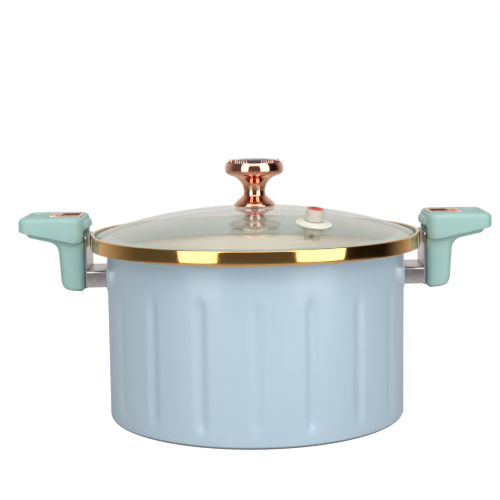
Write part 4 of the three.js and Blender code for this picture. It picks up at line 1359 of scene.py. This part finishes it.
@dataclass
class Handle:
    """One side handle: bracket, back plate, moulded base and cover, trim and latch."""

    side: Side
    leg_face: float = 141.1
    leg_outer: float = 163.0
    leg_low: float = 108.0
    half: float = 25.0
    leg_corner: float = 7.0
    belly_corner: float = 9.0
    tray_top: float = 151.5
    tray_lid: float = 158.92
    shoulder: float = 148.1
    well_end: float = 172.9
    belly_end: float = 189.4
    belly_drop: float = 4.0
    edge_low: float = 148.4
    edge_rise: float = 9.6
    edge_flat: float = 7.0
    cover_face: float = 142.1
    cover_length: float = 52.4
    cover_half: float = 30.0
    cover_corner: float = 8.0
    cover_round: float = 4.5
    cover_top: float = 169.5
    cover_wall: float = 2.5
    latch_tip: float = 138.9
    latch_length: float = 20.0
    latch_low: float = 154.5
    latch_half: float = 18.0
    latch_high: float = 165.7
    ramp: float = 5.5
    ramp_height: float = 5.0
    rail: float = 2.4
    tail_end: float = 170.6
    tail_half: float = 14.0
    tail_low: float = 156.4
    tail_high: float = 162.6
    pad_start: float = 161.5
    pad_length: float = 7.6
    pad_half: float = 9.0
    pad_low: float = 162.9
    pad_top: float = 170.8
    rib_count: int = 4
    rib_pitch: float = 1.8
    rib_radius: float = 0.5
    slot_start: float = 4.8  # from the cover's face
    slot_length: float = 22.6
    slot_half: float = 9.8
    trim_border: float = 2.6
    trim_side: float = 4.2
    trim_height: float = 1.3
    trim_skirt_low: float = 168.0
    trim_seat: float = 168.3
    dip_start: float = 32.0
    dip_length: float = 15.5
    dip_half: float = 20.0
    dip_depth: float = 1.8
    bracket_start: float = 123.3
    bracket_end: float = 139.1
    bracket_low: float = 111.2
    bracket_high: float = 124.8
    sheet: float = 1.5
    plate_start: float = 139.4
    plate_end: float = 140.8
    plate_low: float = 109.5
    plate_high: float = 153.6
    plate_half: float = 21.0

    def cover_edge(self, x: float) -> float:
        """Height of the cover's lower edge at a distance from the pot's axis."""
        slope = self.edge_rise / (self.cover_length - self.edge_flat)
        return self.edge_low + slope * max(0.0, x - self.cover_face - self.edge_flat)

    def base_side(self) -> list[Point2]:
        """The outer line of the leg and belly, from the toe up to the tray's lid.

        Returns:
            Points of (distance from the axis, height).
        """
        toe = self.leg_outer - 2.2
        bend, end = self.leg_outer, self.belly_end
        return softened([
            (toe - 10, self.leg_low), (toe, self.leg_low, 9.5),
            (bend, self.cover_edge(bend) - self.belly_drop, 11),
            (end, self.cover_edge(end) - self.belly_drop, 4.5), (end, self.tray_lid),
        ], steps=10, loop=False)

    def base(self) -> bpy.types.Object:
        """The moulded leg and tray that carry the latch.

        Returns:
            The base, drawn at +X.
        """
        layers = []
        line = self.base_side()
        leg_end = line[0][0] + 14
        for x, z in line:
            # the toe's edge is rounded over its lowest 2.6 mm
            inset = 2.4 * max(0.0, 1 - (z - self.leg_low) / 2.6) ** 2
            share = min(1.0, max(0.0, (x - leg_end) / (self.belly_end - leg_end)))
            outer = self.leg_corner + (self.belly_corner - self.leg_corner) * share
            layers.append((rounded_plan(
                self.leg_face + inset, x, self.half - inset, self.leg_corner - inset, outer), z))
        base = lofted(layers).piece(f"handle_base_{self.side.label}_skin")
        start, tall = self.leg_face - 5, self.tray_lid + 5
        inside = self.cover_face + self.cover_wall + GAP
        wide = self.half + 5
        well = self.half - 2.2  # the well keeps its side walls, so no slit shows under the cover
        cuts = [
            ((start, -well, self.tray_top), (self.well_end, well, tall)),
            ((start, -wide, self.shoulder), (inside, wide, tall)),
        ]
        for low, high in cuts:
            combined(base, box_shell(low, high).piece("cut"), "DIFFERENCE")
        for y in (-self.latch_half, self.latch_half - self.rail):
            low = (inside, y, self.tray_top - 1)
            high = (self.well_end + 1, y + self.rail, self.latch_low - GAP)
            combined(base, box_shell(low, high).piece("rail"), "UNION")
        return settled(wear(base, MINT))

    def cover(self) -> bpy.types.Object:
        """The moulded shell over the latch, with its slot, window and thumb dip.

        Returns:
            The cover, drawn at +X.
        """
        x0, x1 = self.cover_face, self.cover_face + self.cover_length
        ceiling = self.cover_top - self.cover_wall
        spring = self.cover_top - self.cover_round
        wall, corner = self.cover_wall, self.cover_corner
        shell = Shell()

        def wall_ring(inset: float, radius: float, height: Callable[[float], float]) -> list[int]:
            """One ring of the cover's wall, with its height given for each point."""
            plan = rounded_plan(x0 + inset, x1 - inset, self.cover_half - inset, radius, radius, 10, 16)
            return shell.ring((x, y, height(x)) for x, y in plan)

        def brim(x: float) -> float:
            """Height at which the outer wall starts above its broken lower edge."""
            return self.cover_edge(x) + 0.8

        rings = [
            wall_ring(wall, corner - wall, lambda x: self.cover_edge(x) + 0.5),
            wall_ring(wall - 0.5, corner - wall + 0.5, self.cover_edge),
            wall_ring(0.6, corner - 0.6, self.cover_edge),
            wall_ring(0.15, corner - 0.15, lambda x: self.cover_edge(x) + 0.2),
            wall_ring(0, corner, brim),
        ]
        for row in (0.35, 0.7, 1.0):
            rings.append(wall_ring(0, corner, lambda x, r=row: brim(x) * (1 - r) + spring * r))
        steps = 8
        for step in range(1, steps + 1):
            turn = math.pi / 2 * step / steps
            inset = self.cover_round * (1 - math.cos(turn))
            height = self.cover_top - self.cover_round * (1 - math.sin(turn))
            rings.append(wall_ring(inset, corner - inset * 0.8, lambda x, h=height: h))
        shell.stack(rings, capped=False)
        # the last bridge joined the outer top to the inner edge, so the two caps take its place
        shell.faces = shell.faces[:-len(rings[0])]
        roof = wall_ring(wall, corner - wall, lambda x: ceiling)
        shell.bridge(roof, rings[0])
        shell.faces.extend([tuple(rings[-1]), tuple(roof)])
        cover = shell.piece(f"handle_cover_{self.side.label}_skin")
        for cutter in self.cover_cutters(ceiling):
            combined(cover, cutter, "DIFFERENCE")
        return settled(wear(bevelled(cover, 0.35, 2, 50), MINT))

    def cover_cutters(self, ceiling: float) -> list[bpy.types.Object]:
        """What is cut from the cover: the nose's window, the slot, the trim's pocket and the dip.

        Args:
            ceiling: height of the cover's inner roof.

        Returns:
            The cutters, which stand where they cut.
        """
        x0 = self.cover_face
        window = self.latch_half + GAP
        nose = box_shell((x0 - 2, -window, self.latch_low - 1),
                         (x0 + self.cover_wall + 1, window, self.latch_high + GAP))
        # the frame's skirt, 1 mm thick, stands in the slot
        skirt = 1 + GAP
        start, end = x0 + self.slot_start, x0 + self.slot_start + self.slot_length
        half = self.slot_half + skirt
        slot = box_shell((start - skirt, -half, ceiling - 2), (end + skirt, half, self.cover_top + 2))
        border = self.trim_border + GAP
        seat = rounded_plan(start - border, end + border, self.slot_half + self.trim_side + GAP, 2, 2)
        pocket = lofted([(seat, self.trim_seat), (seat, self.cover_top + 2)])
        return [nose.piece("window"), slot.piece("slot"), pocket.piece("pocket"),
                self.dip(x0 + self.dip_start)]

    def dip(self, start: float) -> bpy.types.Object:
        """The cutter of the shallow thumb dip near the cover's end.

        Args:
            start: distance from the pot's axis to its inner end.

        Returns:
            The cutter.
        """
        depth = self.dip_depth
        rows = [(-depth, 2.6), (0.12 - depth, 1.7), (-depth * 0.5, 0.7), (0.0, 0.0), (2.0, -0.6)]
        layers = []
        for rise, inset in rows:
            plan = rounded_plan(
                start + inset, start + self.dip_length - inset, self.dip_half - inset, 5, 5)
            layers.append((plan, self.cover_top + rise))
        return lofted(layers).piece("dip")

    def frame_piece(self) -> bpy.types.Object:
        """The bright frame round the slot, with a skirt that stands in it.

        Returns:
            The frame, drawn at +X.
        """
        skirt, low = self.trim_skirt_low, self.trim_seat + GAP
        top = low + self.trim_height
        x0 = self.cover_face + self.slot_start
        x1 = x0 + self.slot_length
        border, side = self.trim_border, self.trim_side

        def plan(ahead: float, aside: float, corner: float) -> list[Point2]:
            """A rounded rectangle that stands out from the slot by these borders."""
            return rounded_plan(x0 - ahead, x1 + ahead, self.slot_half + aside, corner, corner)

        outer = plan(border, side, 2.2)
        layers = [
            (plan(1, 1, 0.5), skirt), (plan(1, 1, 0.5), low), (outer, low), (outer, top - 0.7),
            (plan(border - 0.2, side - 0.2, 2.1), top - 0.2), (plan(border - 0.7, side - 0.7, 1.9), top),
            (plan(0.5, 0.5, 0.5), top), (plan(0.1, 0.1, 0.3), top - 0.15),
            (plan(0, 0, 0.25), top - 0.5), (plan(0, 0, 0.25), skirt),
        ]
        trim = lofted(layers, capped=False).piece(f"slot_trim_{self.side.label}_skin")
        return settled(wear(trim, ROSE))

    def bracket(self) -> bpy.types.Object:
        """The folded steel bracket from the pot's boss to the back plate.

        Returns:
            The bracket, drawn at +X.
        """
        start, end = self.bracket_start, self.bracket_end
        low, high, half, sheet = self.bracket_low, self.bracket_high, self.half, self.sheet
        inner = half - sheet
        outer = softened([
            (half, low, 0.3), (half, high, 2.4), (-half, high, 2.4), (-half, low, 0.3),
            (-inner, low, 0.3), (-inner, high - sheet, 1.2), (inner, high - sheet, 1.2),
            (inner, low, 0.3),
        ])
        shell = Shell()
        rings = [
            shell.ring((x, y, z) for y, z in outer)
            for x in (start, start + 0.15, end - 0.15, end)
        ]
        shell.stack(rings, capped=True)
        bracket = shell.piece(f"bracket_{self.side.label}_skin")
        depth = sheet / 2  # how far the end flange reaches into the folded sheet
        flange = box_shell((start, depth - half, low), (start + 1.6, half - depth, high - depth))
        combined(bracket, flange.piece("flange"), "UNION")
        return settled(wear(bracket, STEEL))

    def back_plate(self) -> bpy.types.Object:
        """The steel plate between the bracket and the handle.

        Returns:
            The plate, drawn at +X.
        """
        low, high = self.plate_low, self.plate_high
        middle = (low + high) / 2
        start, end, edge = self.plate_start, self.plate_end, 0.2
        layers = []
        for rise, inset in ((start, edge), (start + edge, 0.0), (end - edge, 0.0), (end, edge)):
            plan = rounded_plan(
                low - middle + inset, high - middle - inset, self.plate_half - inset, 3, 3)
            layers.append((plan, rise))
        upright = Matrix.Translation((0, 0, middle)) @ Matrix.Rotation(-math.pi / 2, 4, "Y")
        mirrored = Matrix.Scale(-1, 4, (1, 0, 0))
        plate = lofted(layers).piece(f"back_plate_{self.side.label}_skin", mirrored @ upright)
        return settled(wear(plate, STEEL))

    def nose(self) -> bpy.types.Object:
        """The latch's nose with a ramped tip, and the tail behind it.

        Returns:
            The nose and tail as one piece, drawn at +X.
        """
        tip, end = self.latch_tip, self.latch_tip + self.latch_length
        ramp, high = self.ramp, self.latch_high - self.latch_low
        # rise and inset of each row: straight up, then round the top edge
        rows = [(0.0, 0.0), (1.0, 0.0), (2.5, 0.0), (self.ramp_height, 0.0), (high - 3, 0.0)]
        for turn in (math.pi / 12 * k for k in range(1, 7)):
            rows.append((high - 3 * (1 - math.sin(turn)), 2.2 * (1 - math.cos(turn))))
        layers = []
        for rise, inset in rows:
            back = ramp * max(0.0, 1 - rise / self.ramp_height)
            plan = rounded_plan(
                tip + back + inset, end, self.latch_half - inset * 0.8, 5 - inset / 2, 1.0)
            layers.append((plan, self.latch_low + rise))
        nose = lofted(layers).piece(f"latch_nose_{self.side.label}_skin")
        tail = box_shell((end - 1, -self.tail_half, self.tail_low),
                         (self.tail_end, self.tail_half, self.tail_high))
        combined(nose, tail.piece("tail"), "UNION")
        bed = 12.3  # half the width of the bed for the steel strip
        pocket = box_shell((tip + ramp + 2.2, -bed, self.latch_low - 2), (174, bed, self.tail_low))
        combined(nose, pocket.piece("pocket"), "DIFFERENCE")
        return settled(wear(bevelled(nose, 0.5, 2, 50), MINT))

    def rib_tree(self) -> bpy.types.NodeTree:
        """The tree that lays grip ribs across the thumb pad.

        Returns:
            A tree with the ribs' count, spacing and size as inputs.
        """
        tree, want = new_tree(f"pad_ribs_{self.side.label}", {
            "Ribs": self.rib_count, "Start": (0.0, 0.0, 0.0), "Spacing": (self.rib_pitch * MM, 0.0, 0.0),
            "Rib length": 14.0 * MM, "Rib radius": self.rib_radius * MM,
        })
        row = add_node(tree, "GeometryNodeMeshLine", {
            "Count": want["Ribs"], "Start Location": want["Start"], "Offset": want["Spacing"],
        })
        bar = add_node(tree, "GeometryNodeMeshCylinder", {
            "Vertices": 16, "Radius": want["Rib radius"], "Depth": want["Rib length"],
        })
        lying = add_node(tree, "GeometryNodeTransform", {
            "Geometry": bar.outputs[0], "Rotation": (math.pi / 2, 0.0, 0.0),
        })
        ribs = add_node(tree, "GeometryNodeInstanceOnPoints", {
            "Points": row.outputs[0], "Instance": lying.outputs[0],
        })
        both = add_node(tree, "GeometryNodeJoinGeometry")
        tree.links.new(ribs.outputs[0], both.inputs[0])
        tree.links.new(want["Geometry"], both.inputs[0])
        close_tree(tree, both.outputs[0], ROSE.material())
        return tree

    def pad(self) -> bpy.types.Object:
        """The ribbed thumb pad that stands up through the slot.

        Returns:
            The pad with its ribs, drawn at +X.
        """
        flat = self.pad_top - 0.4
        x0, x1 = self.pad_start, self.pad_start + self.pad_length
        layers = []
        for height, inset in ((self.pad_low, 0.0), (flat - 0.7, 0.0), (flat - 0.2, 0.2), (flat, 0.7)):
            plan = rounded_plan(x0 + inset, x1 - inset, self.pad_half - inset, 1.4, 1.4)
            layers.append((plan, height))
        pad = lofted(layers).piece(f"latch_pad_{self.side.label}_skin")
        return grown(pad, self.rib_tree(), {
            "Ribs": self.rib_count, "Start": Vector((x0 + 1.1, 0, flat - 0.1)) * MM,
            "Spacing": Vector((self.rib_pitch, 0, 0)) * MM,
        })

    def build(self) -> None:
        """Makes the handle's pieces, turns them to their side and hands them over."""
        label = self.side.label
        made = [
            (self.base(), "pot", "mint_plastic", f"handle_base_{label}"),
            (self.cover(), "pot", "mint_plastic", f"handle_cover_{label}"),
            (self.frame_piece(), "pot", "rose_gold", f"slot_trim_{label}"),
            (self.bracket(), "pot", "steel", f"bracket_{label}"),
            (self.back_plate(), "pot", "steel", f"back_plate_{label}"),
            (self.nose(), f"latch_{label}", "mint_plastic", f"latch_nose_{label}"),
            (self.pad(), f"latch_{label}", "rose_gold", f"latch_pad_{label}"),
        ]
        for piece, body, slot, node in made:
            piece.data.transform(self.side.turn)
            hand_over(piece, body, slot, node)
        dress_node(f"detent_spring_{label}", STEEL)
        dress_node(f"latch_plate_{label}", STEEL)


# ---------------------------------------------------------------- screws


@dataclass
class Screws:
    """The stainless pan-head screws of every sub-assembly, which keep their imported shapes."""

    finish: Finish = STEEL

    def build(self) -> None:
        """Dresses each screw's own node."""
        for node in sorted(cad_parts):
            if "screw" in node:
                dress_node(node, self.finish)


# ---------------------------------------------------------------- studio


@dataclass(frozen=True)
class SoftBox:
    """A soft box that faces the lid from one side."""

    name: str
    azimuth: float  # degrees round from the front, positive to the right
    elevation: float  # degrees above the horizon
    size: Point2  # width and height in mm
    power: float  # watts
    distance: float = 1500.0
    aim: float = 120.0  # height that it faces

    def build(self) -> None:
        """Makes the light, which the camera doesn't see."""
        turn, rise = math.radians(self.azimuth), math.radians(self.elevation)
        back = Vector((
            math.sin(turn) * math.cos(rise), -math.cos(turn) * math.cos(rise), math.sin(rise),
        ))
        data = bpy.data.lights.new(self.name, "AREA")
        data.shape = "RECTANGLE"
        data.size, data.size_y = self.size[0] * MM, self.size[1] * MM
        data.energy = self.power
        lamp = bpy.data.objects.new(self.name, data)
        lamp.location = (Vector((0, 0, self.aim)) + back * self.distance) * MM
        lamp.rotation_euler = back.to_track_quat("Z", "Y").to_euler()
        lamp.visible_camera = False
        bpy.context.scene.collection.objects.link(lamp)


@dataclass
class Studio:
    """Pale floor, soft boxes, the room that the metals mirror, and the camera."""

    camera_place: Point3 = (2.8, -1040.7, 269.04)
    yaw: float = -0.0069
    pitch: float = 0.1255
    roll: float = -0.0135
    lens: float = 89.6
    table_radius: float = 800.0  # so small that the hoop mirrors the dark room past it
    floor_glow: float = 0.05
    floor_white: float = 0.9  # its glow to the camera
    room_glow: float = 0.13
    dark_glow: float = 0.015  # the black screen on the right
    wall_glow: float = 0.82
    boxes: tuple[SoftBox, ...] = (
        SoftBox("left_box", -37, 17, (740, 1500), 9.6),
        SoftBox("right_box", 43, 17, (960, 1500), 13.5),
        SoftBox("top_box", 0, 64, (1600, 1600), 15),
    )

    def floor(self) -> None:
        """The pale floor that the pot stands on."""
        top, under, reach = -0.02, -2.0, self.table_radius
        floor = turned([(0, top), (reach, top), (reach, under), (0, under)], 96).piece("studio_floor")
        # seamless background paper: matt, with hardly any gloss
        paper = bpy.data.materials.new("background_paper")
        paper.use_nodes = True
        skin = paper.node_tree.nodes["Principled BSDF"]
        skin.inputs["Base Color"].default_value = linear("#b9b9b8")
        skin.inputs["Roughness"].default_value = 0.9
        skin.inputs["Specular IOR Level"].default_value = 0.1
        skin.inputs["Emission Color"].default_value = (1.0, 1.0, 1.0, 1.0)
        # it glows fully only to the camera, so that the paper is white and the pot's foot stays shaded
        path = add_node(paper.node_tree, "ShaderNodeLightPath")
        glow = add_node(paper.node_tree, "ShaderNodeMapRange", {
            "Value": path.outputs["Is Camera Ray"],
            "To Min": self.floor_glow, "To Max": self.floor_white,
        })
        paper.node_tree.links.new(glow.outputs[0], skin.inputs["Emission Strength"])
        floor.data.materials.append(paper)

    def lights(self) -> None:
        """The soft boxes, the white wall behind the pot and the dark room in front of it."""
        for box in self.boxes:
            box.build()
        world = bpy.data.worlds.new("studio")
        bpy.context.scene.world = world
        world.use_nodes = True
        tree = world.node_tree
        tree.nodes.clear()
        where = add_node(tree, "ShaderNodeTexCoord")
        x, y, _ = add_node(tree, "ShaderNodeSeparateXYZ", {0: where.outputs["Generated"]}).outputs
        rightwards = {"Value": x, "From Min": 0.3, "From Max": 0.95}
        room = add_node(tree, "ShaderNodeMapRange", {
            **rightwards, "To Min": self.room_glow, "To Max": self.dark_glow,
        })
        # the wall starts further back on the right, where the black screen stands
        start = add_node(tree, "ShaderNodeMapRange", {**rightwards, "To Min": -0.1, "To Max": 0.1})
        wall = add_node(tree, "ShaderNodeMapRange", {
            "Value": y, "From Min": start.outputs[0], "From Max": 0.95,
            "To Min": room.outputs[0], "To Max": self.wall_glow,
        }, interpolation_type="SMOOTHSTEP")
        around = add_node(tree, "ShaderNodeBackground", {
            "Color": linear("#f6efea"), "Strength": wall.outputs[0],
        })
        # the camera sees plain white past the floor
        seen = add_node(tree, "ShaderNodeBackground", {"Color": (1.0, 1.0, 1.0, 1.0), "Strength": 1.0})
        path = add_node(tree, "ShaderNodeLightPath")
        either = add_node(tree, "ShaderNodeMixShader", {
            0: path.outputs["Is Camera Ray"], 1: around.outputs[0], 2: seen.outputs[0],
        })
        add_node(tree, "ShaderNodeOutputWorld", {"Surface": either.outputs[0]})

    def camera(self) -> None:
        """The camera, nearly level and in front, a little above the lid."""
        ahead = Vector((
            math.sin(self.yaw) * math.cos(self.pitch), math.cos(self.yaw) * math.cos(self.pitch),
            -math.sin(self.pitch),
        ))
        level = Vector((math.cos(self.yaw), -math.sin(self.yaw), 0))
        steep = level.cross(ahead)
        right = level * math.cos(self.roll) + steep * math.sin(self.roll)
        up = steep * math.cos(self.roll) - level * math.sin(self.roll)
        data = bpy.data.cameras.new("camera")
        data.lens = self.lens
        data.sensor_width = 36
        camera = bpy.data.objects.new("camera", data)
        turn = Matrix((right, up, -ahead)).transposed().to_4x4()
        camera.matrix_world = Matrix.Translation(Vector(self.camera_place) * MM) @ turn
        bpy.context.scene.collection.objects.link(camera)
        bpy.context.scene.camera = camera

    def build(self) -> None:
        """Sets up the whole studio."""
        self.floor()
        self.lights()
        self.camera()
        bpy.context.scene.view_settings.view_transform = "Standard"


def main() -> None:
    """Builds every sub-assembly in order and reports each piece."""
    logging.basicConfig(level=logging.INFO, format="%(name)s: %(message)s")
    Pot().build()
    lid = Lid()
    valve = FloatValve()
    lid.build(valve.place(lid))
    valve.build(lid)
    for side in Side:
        Handle(side).build()
    Screws().build()
    Studio().build()


if __name__ == "__main__":
    main()
